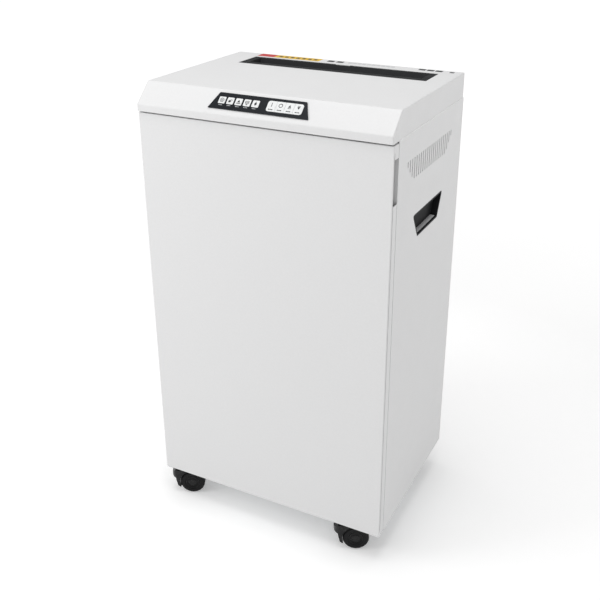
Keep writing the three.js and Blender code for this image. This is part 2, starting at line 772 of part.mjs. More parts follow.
const tie_rod_places = {
  tie_rod_front: door_face + head_front + tie_rod_inset,
  tie_rod_rear: door_face + head_rear - tie_rod_inset,
};
for (const [name, y] of Object.entries(tie_rod_places)) {
  shredder.add(piece(name, cylinderX(tie_rod_radius, head_left + seat_gap, head_right - seat_gap,
    y, tie_rod_height, 12), bright_steel));
}

// ---------------------------------------------------------------- motor and electrics

const motor_right = head_right - seat_gap;
const motor_left = motor_right - motor_length;
const motor_body = turnedX([
  [motor_left, 0], [motor_left, motor_radius * 0.8], [motor_left + 8, motor_radius],
  [motor_right - 30, motor_radius], [motor_right - 22, motor_radius * 0.86],
  [motor_right, motor_radius * 0.86], [motor_right, 0],
], motor_y, motor_z, 20);
const motor_foot = box(motor_left + 25, motor_right - 45, motor_y - 28, motor_y + 28,
  deck_top + seat_gap, motor_z - motor_radius * 0.6);
shredder.add(piece('motor_housing', joined(motor_body, motor_foot), motor_paint));

const capacitor_x = capacitor_left;
const capacitor_y = door_face + capacitor_back;
const capacitor_z = deck_top + capacitor_radius + 4;
shredder.add(piece('run_capacitor', joined(
  cylinderX(capacitor_radius, capacitor_x, capacitor_x + capacitor_length, capacitor_y, capacitor_z),
  box(capacitor_x + 25, capacitor_x + 45, capacitor_y - 16, capacitor_y + 16,
    deck_top + seat_gap, capacitor_z - 12),
), capacitor_can));

const power_board = { left: -150, right: -40, front: door_face + 45, rear: door_face + 125, rise: 9 };
const board_corner = 6;
const standoffs = [power_board.left + board_corner, power_board.right - board_corner].flatMap((x) =>
  [power_board.front + board_corner, power_board.rear - board_corner].map((y) =>
    cylinderZ(3, deck_top + seat_gap, deck_top + power_board.rise + 0.5, x, y, 8)));
shredder.add(piece('power_board', joined(
  box(power_board.left, power_board.right, power_board.front, power_board.rear,
    deck_top + power_board.rise, deck_top + power_board.rise + board_thickness),
  box(power_board.left + 20, power_board.left + 55, power_board.front + 15, power_board.front + 50,
    deck_top + power_board.rise + 1, deck_top + power_board.rise + 30),
  ...standoffs,
), board_green));

// ---------------------------------------------------------------- door

const door_half = half_width - door_side_inset;
const door_top = seam_height - door_top_gap;
const door_rear = door_face + door_depth;
const hinge_x = -half_width + hinge_side_inset;
const hinge_y = door_rear - hinge_back_inset;

const door_shell = joined(
  box(-door_half, door_half, door_face, door_face + door_sheet, cabinet_bottom, door_top),
  box(-door_half, -door_half + door_sheet, door_face, door_rear, cabinet_bottom, door_top),
  box(door_half - door_sheet, door_half, door_face, door_rear, cabinet_bottom, door_top),
  box(-door_half, door_half, door_face, door_rear, door_top - door_sheet, door_top),
  box(-door_half, door_half, door_face, door_rear,
    cabinet_bottom, cabinet_bottom + door_sheet),
);
shredder.add(piece('door_panel', cut(door_shell,
  box(door_half - door_sheet - 1, door_half + 1, door_face + pull_rest, door_rear + 1,
    seam_height - pull_drop - pull_length, seam_height - pull_drop),
  cylinderZ(hinge_pin_radius + turn_gap, cabinet_bottom - 1, cabinet_bottom + door_sheet + 1,
    hinge_x, hinge_y, 16),
  cylinderZ(hinge_pin_radius + turn_gap, door_top - door_sheet - 1, door_top + 1, hinge_x, hinge_y, 16),
), white_paint));

const bracket_left = -half_width + 0.3;
const bracket_right = hinge_x + 8;
const bracket_front = hinge_y - 5;
const bracket_rear = bay_front + 38;
const low_bracket_top = base_bottom - seat_gap;
shredder.add(piece('hinge_bracket_bottom', joined(
  box(bracket_left, bracket_right, bracket_front, bracket_rear, low_bracket_top - 2, low_bracket_top),
  cylinderZ(hinge_pin_radius + 1.5, low_bracket_top - 1, cabinet_bottom - seat_gap, hinge_x, hinge_y, 16),
  cylinderZ(hinge_pin_radius, low_bracket_top - 1, cabinet_bottom + pin_length, hinge_x, hinge_y, 16),
), galvanised));

const high_bracket_top = body_top - seat_gap;
const high_bracket_bottom = high_bracket_top - bracket_sheet;
shredder.add(piece('hinge_bracket_top', joined(
  box(-inner_half, bracket_right + 6, bracket_front, bracket_rear,
    high_bracket_bottom, high_bracket_top),
  cylinderZ(hinge_pin_radius, door_top - pin_length, high_bracket_bottom + 1, hinge_x, hinge_y, 16),
), galvanised));

const catch_x = half_width - catch_inset;
const catch_z = deck_height - catch_drop;
const strike_front = door_face + door_sheet + seat_gap;
const strike_rear = strike_front + 2;
shredder.add(piece('strike_plate', box(catch_x - catch_half, catch_x + catch_half,
  strike_front, strike_rear, catch_z - 7, catch_z + 7), bright_steel));
shredder.add(piece('magnet_catch', box(catch_x - catch_half, catch_x + catch_half,
  strike_rear + catch_air, bay_front - seat_gap, catch_z - 6, catch_z + 6), dark_plastic));

const door_switch_x = -half_width + door_switch_inset;
const door_switch_z = deck_height + door_switch_rise;
shredder.add(piece('door_switch', joined(
  box(door_switch_x - 15, door_switch_x + 15, body_front - 6, bay_front - seat_gap,
    door_switch_z, door_switch_z + 16),
  box(door_switch_x + 4, door_switch_x + 9, strike_front + 1, body_front - 5,
    door_switch_z + 6, door_switch_z + 11),
), dark_plastic));

// ---------------------------------------------------------------- waste bin

const bin_floor = base_top + 1;
const bin_top = deck_height - deck_flange - bin_headroom;
const bin_height = bin_top - bin_floor;
const bin_width = cabinet_width - 2 * bin_side_room;
const bin_front = bay_front + sheet + bin_front_room;
const bin_rear = bay_rear - bin_rear_room;
const bin_depth = bin_rear - bin_front;
const bin_y = (bin_front + bin_rear) / 2;

// A tapered block, as big as the bin's inside or outside.
function binBlock(inset, from, to) {
  const ring = (z) => {
    const lean = bin_taper * (bin_top - z) / bin_height;
    const half_x = bin_width / 2 - bin_rim - inset - lean;
    const half_y = bin_depth / 2 - bin_rim - inset - lean;
    return [[-half_x, bin_y - half_y, z], [half_x, bin_y - half_y, z],
      [half_x, bin_y + half_y, z], [-half_x, bin_y + half_y, z]];
  };
  const geometry = new THREE.BufferGeometry();
  const corners = [...ring(from), ...ring(to)].flat();
  geometry.setAttribute('position', new THREE.BufferAttribute(new Float32Array(corners), 3));
  geometry.setIndex([0, 2, 1, 0, 3, 2, 4, 5, 6, 4, 6, 7,
    0, 1, 5, 0, 5, 4, 1, 2, 6, 1, 6, 5, 2, 3, 7, 2, 7, 6, 3, 0, 4, 3, 4, 7]);
  return geometry;
}

shredder.add(piece('waste_bin', cut(joined(
  binBlock(0, bin_floor, bin_top),
  box(-bin_width / 2, bin_width / 2, bin_y - bin_depth / 2, bin_y + bin_depth / 2,
    bin_top - bin_wall, bin_top),
), binBlock(bin_wall, bin_floor + bin_wall, bin_top + 1),
box(-60, 60, bin_y - bin_depth / 2 - 1, bin_y - bin_depth / 2 + bin_rim + bin_wall + 4,
  bin_top - 75, bin_top - 45)), grey_plastic));

// ---------------------------------------------------------------- casters

const wheel_inner = web_width / 2 + wheel_side_gap;
const wheel_outer = wheel_inner + wheel_width;
const pocket_radius = wheel_radius + tread_gap;

// Twin wheels on their axle, turned along the local Y.
function wheelSet() {
  const side = [[wheel_inner, axle_radius], [wheel_inner, wheel_radius - 1.5],
    [wheel_inner + 1.5, wheel_radius], [wheel_outer - 2.5, wheel_radius],
    [wheel_outer, wheel_radius - 2.5], [wheel_outer, wheel_radius * 0.66],
    [wheel_outer - 1.5, wheel_radius * 0.6], [wheel_outer - 1.5, 0]];
  const mirrored = side.map(([x, radius]) => [-x, radius]).reverse();
  return turnedX([...mirrored, ...side], 0, 0, 20).rotateZ(Math.PI / 2);
}

// Housing of one caster, in a frame with local X from the nose to the open end, wheel centre at x = 0.
function casterHousing() {
  const half = wheel_outer;
  const low = caster_skirt - wheel_radius;
  const top = caster_housing_top - wheel_radius;
  const nose_low = caster_nose_tip - wheel_radius;
  const side_profile = [
    [caster_front_reach, low], [caster_front_reach, top - 8], [caster_front_reach - 8, top],
    [-caster_nose_reach + 8, top], [-caster_nose_reach, top - 8], [-caster_nose_reach, low],
    [-caster_nose_reach + 8, low - 3], [-pocket_radius - 6.5, 2], [-pocket_radius - 4, nose_low + 3],
    [-pocket_radius + 0.5, nose_low], [0, nose_low],
  ];
  const across = new THREE.Matrix4().makeBasis(
    new THREE.Vector3(1, 0, 0), new THREE.Vector3(0, 0, 1), new THREE.Vector3(0, -1, 0));
  const blank = solid(extrude(outline(side_profile), -half, half).applyMatrix4(across));
  const plan = solid(prismZ(rounded([
    [-caster_nose_reach, -half], [caster_front_reach, -half],
    [caster_front_reach, half], [-caster_nose_reach, half],
  ], half * 0.8, 4), nose_low - 1, top + 1));
  const around = (radius, from, to) => cylinderX(radius, from, to, 0, 0, 28).rotateZ(Math.PI / 2);
  const open_end = box(-pocket_radius * 0.2, caster_front_reach + 1, -half - 1, half + 1,
    nose_low - 1, low);
  const web_profile = [[-pocket_radius - 3, low + 6], [-axle_radius - 5, -axle_radius - 5],
    [axle_radius + 5, -axle_radius - 5], [pocket_radius * 0.7, low + 6]];
  const web = solid(extrude(outline(web_profile), -web_width / 2, web_width / 2).applyMatrix4(across));
  const kingpin_x = caster_trail;
  return blank.intersect(plan)
    .subtract(solid(open_end))
    .subtract(solid(around(pocket_radius, -half - 1, half + 1)))
    .add(web)
    .subtract(solid(around(axle_radius + turn_gap, -half, half)))
    .subtract(solid(cylinderZ(kingpin_radius + turn_gap, top - 4, top + 1, kingpin_x, 0, 16)));
}

const kingpin_tip = caster_housing_top - 3.5;
const plate_bottom = caster_housing_top + race_gap;
const caster_places = {
  front_left: [-1, door_face + caster_inset_y],
  front_right: [1, door_face + caster_inset_y],
  rear_left: [-1, -door_face - caster_inset_y],
  rear_right: [1, -door_face - caster_inset_y],
};
for (const [place, [side, y]] of Object.entries(caster_places)) {
  const x = side * (half_width - caster_inset_x);
  shredder.add(piece(`caster_plate_${place}`, joined(
    box(x - caster_plate_width / 2, x + caster_plate_width / 2,
      y - caster_plate_depth / 2, y + caster_plate_depth / 2, plate_bottom, plate_bottom + caster_plate),
    cylinderZ(kingpin_radius, kingpin_tip, plate_bottom + 1, x, y, 16),
  ), hard_steel));
  const swivel = new THREE.Group();
  swivel.position.set(x, y, wheel_radius);
  swivel.rotation.z = radians(caster_turn);
  const rolling = new THREE.Group();
  rolling.position.x = -caster_trail;
  rolling.add(piece(`caster_housing_${place}`, casterHousing(), black_plastic));
  rolling.add(piece(`caster_wheels_${place}`, wheelSet(), tread_black));
  swivel.add(rolling);
  shredder.add(swivel);
}

export default shredder;
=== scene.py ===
"""Looks of a cabinet paper shredder: folded and coated sheet steel, mouldings, a printed control
panel, the cutter head, the waste bin, swivel casters, fasteners, and a plain stage with soft light."""

import json
import math

import bmesh
import bpy
from bpy.props import FloatProperty, FloatVectorProperty, PointerProperty
from mathutils import Matrix, Vector

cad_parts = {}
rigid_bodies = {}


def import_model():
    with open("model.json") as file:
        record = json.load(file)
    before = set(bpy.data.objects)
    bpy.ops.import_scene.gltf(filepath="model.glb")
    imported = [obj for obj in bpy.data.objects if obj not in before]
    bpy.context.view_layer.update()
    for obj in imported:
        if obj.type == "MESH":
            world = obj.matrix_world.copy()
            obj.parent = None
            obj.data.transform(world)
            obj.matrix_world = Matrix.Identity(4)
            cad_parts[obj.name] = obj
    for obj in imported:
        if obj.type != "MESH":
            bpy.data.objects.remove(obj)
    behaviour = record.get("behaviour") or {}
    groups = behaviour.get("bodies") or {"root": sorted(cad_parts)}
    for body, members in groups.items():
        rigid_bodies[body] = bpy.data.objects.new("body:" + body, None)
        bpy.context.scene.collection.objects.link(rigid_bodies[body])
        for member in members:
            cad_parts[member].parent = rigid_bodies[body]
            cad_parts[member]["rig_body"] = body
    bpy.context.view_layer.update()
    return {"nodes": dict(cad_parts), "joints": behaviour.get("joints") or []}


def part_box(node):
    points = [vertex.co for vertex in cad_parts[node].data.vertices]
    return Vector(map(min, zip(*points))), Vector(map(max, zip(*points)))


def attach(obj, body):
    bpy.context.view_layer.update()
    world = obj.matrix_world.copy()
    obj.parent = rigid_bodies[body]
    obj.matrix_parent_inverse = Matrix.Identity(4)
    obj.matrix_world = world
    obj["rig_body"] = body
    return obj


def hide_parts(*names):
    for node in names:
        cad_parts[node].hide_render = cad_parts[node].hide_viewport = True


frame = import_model()

bl_info = {
    "name": "Cabinet paper shredder",
    "version": (1, 0, 0),
    "blender": (4, 5, 0),
    "location": "3D View > Sidebar > Shredder",
    "description": "Builds the looks of a cabinet paper shredder on its packed frame",
    "category": "Add Mesh",
}

MM = 0.001
FLAT = 0.9              # part of a normal along an axis, above which its face looks that way
SPREAD = (0.3, 0.7)     # range of a noise that a colour or a roughness follows
INK_GAP = 0.01 * MM     # space under printed ink
EDGE_BAND = 0.2 * MM    # reach within which points count as one level
PLACES = ("front_left", "front_right", "rear_left", "rear_right")
LIGHT_SYMBOLS = ("double_ring", "sheets", "triangle", "grid", "diamond")
KEY_SYMBOLS = {"key_start": "bar", "key_stop": "ring", "key_reverse": "up", "key_forward": "down"}


# ---- sizes and colours


def length(name, description, default):
    """A size in metres."""
    return FloatProperty(name=name, description=description, default=default, min=0.0,
                         precision=5, unit="LENGTH")


def number(name, description, default, **more):
    """A plain number."""
    return FloatProperty(name=name, description=description, default=default, **more)


def colour(name, description, default):
    """A linear colour."""
    return FloatVectorProperty(name=name, description=description, default=default, size=3,
                               min=0.0, max=1.0, subtype="COLOR")


class SheetSettings(bpy.types.PropertyGroup):
    """Folded sheet metal of the cabinet."""

    hood_bend: length("Hood bend", "Outside radius of the hood's folds", 2.2 * MM)
    hood_sheet: length("Hood sheet", "Thickness of the hood", 1.5 * MM)
    hood_inset: length("Hood inset", "Set-in of the hood's sides from the side panels", 1.0 * MM)
    # the bead's white finish paints a highlight line along the hood's seam
    bead_radius: length("Bead radius", "Quarter-round bead along the hood's seam", 1.6 * MM)
    door_slit: length("Door slit", "Joint between the door's face and its right return", 2.2 * MM)
    door_bend: length("Door bend", "Outside radius of the door's folds", 1.8 * MM)
    door_sheet: length("Door sheet", "Thickness of the door", 1.2 * MM)
    slit_margin: length("Slit margin", "Door's face left closed above and below its slit", 12 * MM)
    cut_edge: length("Cut edge", "Rounding that the coat leaves on a cut edge", 0.35 * MM)
    lip_height: length("Lip height", "Upright part of the hood's front", 12.4 * MM)
    pull_top: length("Finger pull top", "Finger pull's upper end above the floor", 779 * MM)
    pull_bottom: length("Finger pull bottom", "Finger pull's lower end above the floor", 704 * MM)
    pull_rest: length("Finger pull rest", "Width of the return left beside the pull", 4 * MM)
    coat: colour("Coat", "Powder coat of the cabinet", (0.765, 0.765, 0.767))


class TrimSettings(bpy.types.PropertyGroup):
    """Mouldings, keys and printing."""

    moulded_edge: length("Moulded edge", "Rounding of a moulded edge", 0.8 * MM)
    bin_edge: length("Bin edge", "Rounding of the waste bin's edges", 1.0 * MM)
    fitting_edge: length("Fitting edge", "Rounding of a rear fitting's edges", 0.5 * MM)
    light_width: length("Light width", "Width of a light window", 12.6 * MM)
    print_height: length("Print height", "Thickness of printed ink", 0.06 * MM)
    symbol_size: length("Symbol size", "Height of a printed symbol", 7.8 * MM)
    black: colour("Black plastic", "Throat, grips and rear fittings", (0.010, 0.011, 0.012))
    film: colour("Panel film", "Printed film of the control panel", (0.012, 0.014, 0.017))
    window_corner: length("Window corner", "Corner radius of a light window", 1.6 * MM)
    key_corner: length("Key corner", "Outer corner radius of the key block", 4.2 * MM)
    print_gap: length("Print gap", "Gap round a window or a key", 0.3 * MM)
    keys: colour("Keys", "Keys and light windows", (0.78, 0.79, 0.79))
    ink: colour("Ink", "Symbols on the keys and windows", (0.016, 0.018, 0.021))
    bin: colour("Waste bin", "Moulded bin", (0.20, 0.215, 0.225))
    label_red: colour("Label red", "First block of the label", (0.54, 0.032, 0.028))
    label_yellow: colour("Label yellow", "Second block of the label", (0.74, 0.47, 0.03))


class MetalSettings(bpy.types.PropertyGroup):
    """Mechanism, casters and fasteners."""

    machined_edge: length("Machined edge", "Rounding of a machined edge", 0.3 * MM)
    screw_radius: length("Screw head radius", "Radius of a panel screw's head", 3.4 * MM)
    screw_height: length("Screw head height", "Height of a panel screw's head", 1.7 * MM)
    fender_edge: length("Fender edge", "Rounding of a caster's housing", 2.2 * MM)
    zinc: colour("Zinc", "Galvanised sheet", (0.42, 0.44, 0.45))
    steel: colour("Steel", "Ground steel", (0.50, 0.51, 0.53))
    gear: colour("Gear steel", "Hardened and oiled steel", (0.16, 0.165, 0.175))


class StageSettings(bpy.types.PropertyGroup):
    """Floor, camera and lights."""

    camera_place: FloatVectorProperty(name="Camera place", description="Camera's position",
                                      default=(0.67199, -1.32031, 1.16044), size=3,
                                      subtype="TRANSLATION", unit="LENGTH")
    camera_turn: number("Camera turn", "Camera's angle round the object",
                        math.radians(26.608), subtype="ANGLE")
    camera_rise: number("Camera rise", "Camera's angle above the level",
                        math.radians(23.364), subtype="ANGLE")
    camera_lens: number("Camera lens", "Focal length in millimetres", 51.14)
    camera_shift: FloatVectorProperty(name="Camera shift", description="Shift of the lens",
                                      default=(-0.0173, -0.0803), size=2)
    floor: colour("Floor", "Plain floor", (0.90, 0.90, 0.90))
    glow_near: number("Glow near", "Light that the floor gives by the object", 0.30)
    glow_far: number("Glow far", "Light that the floor gives far away", 0.62)


# ---- materials


def socket_set(node, **values):
    """Sets constants on a node's own sockets; underscores stand for spaces."""
    for name, value in values.items():
        node.inputs[name.replace("_", " ")].default_value = value


def bare_material(name, base, roughness, metallic=0.0):
    """A material with its shader, an Object coordinate and the constants set."""
    material = bpy.data.materials.new(name)
    material.use_nodes = True
    tree = material.node_tree
    shader = tree.nodes["Principled BSDF"]
    socket_set(shader, Base_Color=(*base, 1), Roughness=roughness, Metallic=metallic)
    material.diffuse_color = (*base, 1)
    coordinate = tree.nodes.new("ShaderNodeTexCoord")
    return material, tree, shader, coordinate.outputs["Object"]


def noise(tree, where, scale, detail=3.0, roughness=0.5):
    """A noise on Object coordinates; scale is in features per metre."""
    node = tree.nodes.new("ShaderNodeTexNoise")
    tree.links.new(where, node.inputs["Vector"])
    socket_set(node, Scale=scale, Detail=detail, Roughness=roughness)
    return node.outputs["Fac"]


def stretched(tree, where, scale):
    """Object coordinates scaled by axis, so that a grain runs one way."""
    node = tree.nodes.new("ShaderNodeMapping")
    tree.links.new(where, node.inputs["Vector"])
    node.inputs["Scale"].default_value = scale
    return node.outputs["Vector"]


def shade(base, factor):
    """A colour made lighter or darker."""
    return tuple(min(1.0, c * factor) for c in base)


def tinted(tree, shader, factor, base, low, high):
    """Runs the shader's colour between two shades of its base with a factor."""
    node = tree.nodes.new("ShaderNodeValToRGB")
    for element, place, part in zip(node.color_ramp.elements, SPREAD, (low, high)):
        element.position = place
        element.color = (*shade(base, part), 1)
    tree.links.new(factor, node.inputs["Fac"])
    tree.links.new(node.outputs["Color"], shader.inputs["Base Color"])


def roughened(tree, shader, factor, low, high):
    """Runs the shader's roughness between two numbers with a factor."""
    node = tree.nodes.new("ShaderNodeMapRange")
    socket_set(node, From_Min=SPREAD[0], From_Max=SPREAD[1], To_Min=low, To_Max=high)
    tree.links.new(factor, node.inputs["Value"])
    tree.links.new(node.outputs["Result"], shader.inputs["Roughness"])


def bumped(tree, shader, height, strength, distance, under=None):
    """A bump on the shader, laid over another one if it is given."""
    node = tree.nodes.new("ShaderNodeBump")
    socket_set(node, Strength=strength, Distance=distance)
    tree.links.new(height, node.inputs["Height"])
    if under is not None:
        tree.links.new(under, node.inputs["Normal"])
    tree.links.new(node.outputs["Normal"], shader.inputs["Normal"])
    return node.outputs["Normal"]


def powder_coat(name, base):
    """Fine textured coat: a grain of under a millimetre over a slow orange peel."""
    material, tree, shader, where = bare_material(name, base, 0.42)
    mottle = noise(tree, where, 260, 4, 0.62)
    tinted(tree, shader, mottle, base, 0.985, 1.01)
    roughened(tree, shader, noise(tree, where, 30), 0.38, 0.47)
    peel = bumped(tree, shader, noise(tree, where, 300, 2), 0.16, 0.0001)
    bumped(tree, shader, noise(tree, where, 1500, 3), 0.2, 0.00006, peel)
    return material


def grained_plastic(name, base, roughness=0.58, grain=1800, depth=0.3):
    """Moulding with a spark-eroded grain and slight wear."""
    material, tree, shader, where = bare_material(name, base, roughness)
    socket_set(shader, Specular_IOR_Level=0.18)
    wear = noise(tree, where, 45, 4)
    tinted(tree, shader, wear, base, 0.94, 1.07)
    roughened(tree, shader, wear, roughness - 0.05, roughness + 0.07)
    bumped(tree, shader, noise(tree, where, grain, 2), depth, 0.00008)
    return material


def smooth_plastic(name, base, roughness=0.24, gloss=0.5):
    """Glossy moulding or film with faint waviness and handling marks."""
    material, tree, shader, where = bare_material(name, base, roughness)
    socket_set(shader, Specular_IOR_Level=gloss)
    marks = noise(tree, where, 90, 5, 0.6)
    tinted(tree, shader, marks, base, 0.96, 1.05)
    roughened(tree, shader, marks, roughness - 0.04, roughness + 0.09)
    bumped(tree, shader, noise(tree, where, 70, 1), 0.12, 0.0003)
    return material


def zinc_sheet(name, base):
    """Galvanised sheet with its spangle."""
    material, tree, shader, where = bare_material(name, base, 0.42, 0.85)
    spangle = tree.nodes.new("ShaderNodeTexVoronoi")
    tree.links.new(where, spangle.inputs["Vector"])
    socket_set(spangle, Scale=230.0)
    split = tree.nodes.new("ShaderNodeSeparateColor")
    tree.links.new(spangle.outputs["Color"], split.inputs["Color"])
    facet = split.outputs["Red"]
    tinted(tree, shader, facet, base, 0.95, 1.05)
    roughened(tree, shader, facet, 0.38, 0.46)
    bumped(tree, shader, noise(tree, where, 500, 2), 0.1, 0.00005)
    return material


def worked_steel(name, base, roughness, grain_scale):
    """Turned or ground steel, its marks running one way."""
    material, tree, shader, where = bare_material(name, base, roughness, 1.0)
    grain = noise(tree, stretched(tree, where, grain_scale), 60, 4, 0.6)
    tinted(tree, shader, grain, base, 0.85, 1.1)
    roughened(tree, shader, grain, roughness - 0.08, roughness + 0.12)
    bumped(tree, shader, grain, 0.12, 0.00006)
    return material


def circuit_board(name, base):
    """Solder mask over a pattern of tracks."""
    material, tree, shader, where = bare_material(name, base, 0.32)
    tracks = tree.nodes.new("ShaderNodeTexBrick")
    tree.links.new(where, tracks.inputs["Vector"])
    socket_set(tracks, Scale=180.0, Mortar_Size=0.05, Color1=(*base, 1),
               Color2=(*shade(base, 0.8), 1), Mortar=(*shade(base, 1.6), 1))
    tree.links.new(tracks.outputs["Color"], shader.inputs["Base Color"])
    bumped(tree, shader, tracks.outputs["Fac"], 0.25, 0.00005)
    return material


def printed(name, base):
    """Ink or paper label with a little unevenness."""
    material, tree, shader, where = bare_material(name, base, 0.5)
    patches = noise(tree, where, 700, 3)
    tinted(tree, shader, patches, base, 0.93, 1.05)
    bumped(tree, shader, noise(tree, where, 1200, 2), 0.08, 0.00003)
    return material


finishes = {}


def make_finishes(settings):
    """Every finish of the object, by name."""
    sheets, trim, metal = settings.sheets, settings.trim, settings.metal
    finishes["coat"] = powder_coat("white_powder_coat", sheets.coat)
    finishes["black"] = grained_plastic("black_grained_plastic", trim.black)
    finishes["film"] = smooth_plastic("black_panel_film", trim.film, 0.34, 0.16)
    finishes["keys"] = smooth_plastic("white_satin_plastic", trim.keys, 0.33)
    # Whiter and glossier than the coat: the bead's colour is a painted highlight along the hood's
    # seam.
    finishes["bead"] = smooth_plastic("painted_highlight_bead", (0.90, 0.90, 0.90), 0.16)
    finishes["ink"] = printed("dark_ink", trim.ink)
    finishes["pale_ink"] = printed("pale_ink", (0.55, 0.56, 0.57))
    finishes["bin"] = grained_plastic("grey_bin_plastic", trim.bin, 0.5, 900, 0.22)
    # Pale pad in the grips' hollows: its pale colour is painted light on the hollows' floors, not a
    # colour of the black cup.
    finishes["pad"] = grained_plastic("painted_light_grip_pad", (0.72, 0.72, 0.73), 0.6, 1500, 0.35)
    finishes["dark"] = grained_plastic("dark_plastic", (0.02, 0.021, 0.023), 0.36, 2400, 0.15)
    finishes["label_red"] = printed("red_label", trim.label_red)
    finishes["label_yellow"] = printed("yellow_label", trim.label_yellow)
    finishes["zinc"] = zinc_sheet("galvanised_sheet", metal.zinc)
    finishes["steel"] = worked_steel("ground_steel", metal.steel, 0.26, (12, 1, 1))
    finishes["gear"] = worked_steel("oiled_gear_steel", metal.gear, 0.34, (6, 1, 1))
    finishes["fastener"] = worked_steel("plated_fastener", (0.46, 0.47, 0.48), 0.32, (3, 3, 3))
    finishes["black_zinc"] = worked_steel("black_plated_steel", (0.05, 0.05, 0.053), 0.42, (2, 2, 2))
    finishes["brass"] = worked_steel("brass_blade", (0.55, 0.38, 0.13), 0.3, (2, 9, 2))
    finishes["motor"] = powder_coat("motor_enamel", (0.032, 0.037, 0.043))
    finishes["board"] = circuit_board("circuit_board", (0.012, 0.11, 0.04))
    finishes["can"] = smooth_plastic("capacitor_case", (0.62, 0.62, 0.60), 0.35)
    finishes["nylon"] = smooth_plastic("black_nylon", (0.006, 0.006, 0.0065), 0.24, 0.28)
    finishes["tread"] = grained_plastic("wheel_nylon", (0.007, 0.007, 0.0075), 0.5, 1300, 0.35)


# ---- mesh helpers


def finished(name, shape, finish, body, replaces=(), sharp=32, wall=0.0):
    """Puts a shape in the scene as a smooth-shaded piece on a body; wall is a sheet's thickness."""
    bmesh.ops.recalc_face_normals(shape, faces=shape.faces[:])
    for face in shape.faces:
        face.smooth = True
    for edge in shape.edges:
        edge.smooth = edge.is_manifold and edge.calc_face_angle(0.0) < math.radians(sharp)
    mesh = bpy.data.meshes.new(name)
    shape.to_mesh(mesh)
    shape.free()
    stale = mesh.attributes.get("custom_normal")
    if stale is not None:
        mesh.attributes.remove(stale)
    mesh.materials.clear()
    mesh.materials.append(finishes[finish])
    piece = bpy.data.objects.new(name, mesh)
    bpy.context.scene.collection.objects.link(piece)
    if wall > 0:
        thick = piece.modifiers.new("Sheet", "SOLIDIFY")
        thick.thickness = wall
        thick.offset = -1.0
        thick.use_even_offset = True
    level = piece.modifiers.new("Flat faces", "WEIGHTED_NORMAL")
    level.keep_sharp = True
    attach(piece, body)
    if replaces:
        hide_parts(*replaces)
    return piece


def rounded_edges(shape, edges, radius, segments=3):
    """Rounds some edges of a shape."""
    bmesh.ops.bevel(shape, geom=edges, offset=radius, offset_type="OFFSET", segments=segments,
                    profile=0.5, affect="EDGES", clamp_overlap=True, material=-1)


def dressed(node, finish, edge, segments=2, sharp=35):
    """A frame node with its edges rounded, standing for the node."""
    shape = bmesh.new()
    shape.from_mesh(frame["nodes"][node].data)
    bmesh.ops.remove_doubles(shape, verts=shape.verts[:], dist=0.00001)
    bmesh.ops.dissolve_limit(shape, angle_limit=math.radians(1), verts=shape.verts[:],
                             edges=shape.edges[:])
    corners = [e for e in shape.edges if e.is_manifold
               and e.calc_face_angle(0.0) > math.radians(sharp)]
    if edge > 0:
        rounded_edges(shape, corners, edge, segments)
    return finished(f"{node}_shown", shape, finish, frame["nodes"][node]["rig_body"],
                    [node])


def block(shape, low, high):
    """Adds a box between two corners and returns its vertices."""
    low, high = Vector(low), Vector(high)
    size = high - low
    matrix = Matrix.Translation((low + high) / 2) @ Matrix.Diagonal((*size, 1))
    return bmesh.ops.create_cube(shape, size=1, matrix=matrix)["verts"]


def joined_to(shape, part):
    """Adds a part to a shape and frees the part."""
    mesh = bpy.data.meshes.new("part")
    part.to_mesh(mesh)
    part.free()
    shape.from_mesh(mesh)
    bpy.data.meshes.remove(mesh)


def extruded(shape, faces, move):
    """Extrudes faces of a shape and moves their new ends."""
    grown = bmesh.ops.extrude_face_region(shape, geom=faces)["geom"]
    bmesh.ops.translate(shape, verts=[g for g in grown if isinstance(g, bmesh.types.BMVert)],
                        vec=move)
    bmesh.ops.recalc_face_normals(shape, faces=shape.faces[:])


def cut_across(shape, point, normal):
    """Cuts every face of a shape along a plane and keeps both sides."""
    bmesh.ops.bisect_plane(shape, geom=shape.verts[:] + shape.edges[:] + shape.faces[:],
                           dist=0.000001, plane_co=point, plane_no=normal)


def cut_at(shape, axis, places):
    """Cuts every face of a shape across one axis, at each of some places along it."""
    normal = Vector([float(k == "XYZ".index(axis)) for k in range(3)])
    for place in places:
        cut_across(shape, normal * place, normal)


def remove_faces(shape, test):
    """Deletes the faces whose middle passes a test."""
    gone = [f for f in shape.faces if test(f.calc_center_median(), f.normal)]
    if not gone:
        raise ValueError("no face lies where an opening should be")
    bmesh.ops.delete(shape, geom=gone, context="FACES")


def slope_matrix(settings):
    """Frame of the hood's slope: X across, Y up the slope, Z out of it."""
    press = next(j for j in frame["joints"] if j["name"] == "key_start_press")
    out = -Vector(press["axis"])
    up = Vector((0.0, out.z, -out.y))
    low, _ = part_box("hood")
    matrix = Matrix((Vector((1, 0, 0)), up, out)).transposed().to_4x4()
    matrix.translation = (0.0, low.y, low.z + settings.sheets.lip_height)
    return matrix


def across_slope(node, matrix):
    """A node's lowest and highest corners in the slope's frame."""
    back = matrix.inverted()
    places = [back @ v.co for v in frame["nodes"][node].data.vertices]
    return (Vector([min(p[k] for p in places) for k in range(3)]),
            Vector([max(p[k] for p in places) for k in range(3)]))


def disc(shape, radius, height, place, sides=24, matrix=None, tip=None):
    """Adds a round or many-sided stud that stands on a place along Z."""
    made = bmesh.ops.create_cone(shape, cap_ends=True, segments=sides, radius1=radius,
                                 radius2=radius if tip is None else tip, depth=height)["verts"]
    bmesh.ops.translate(shape, verts=made, vec=Vector(place) + Vector((0, 0, height / 2)))
    if matrix is not None:
        bmesh.ops.transform(shape, matrix=matrix, verts=made)
    return made


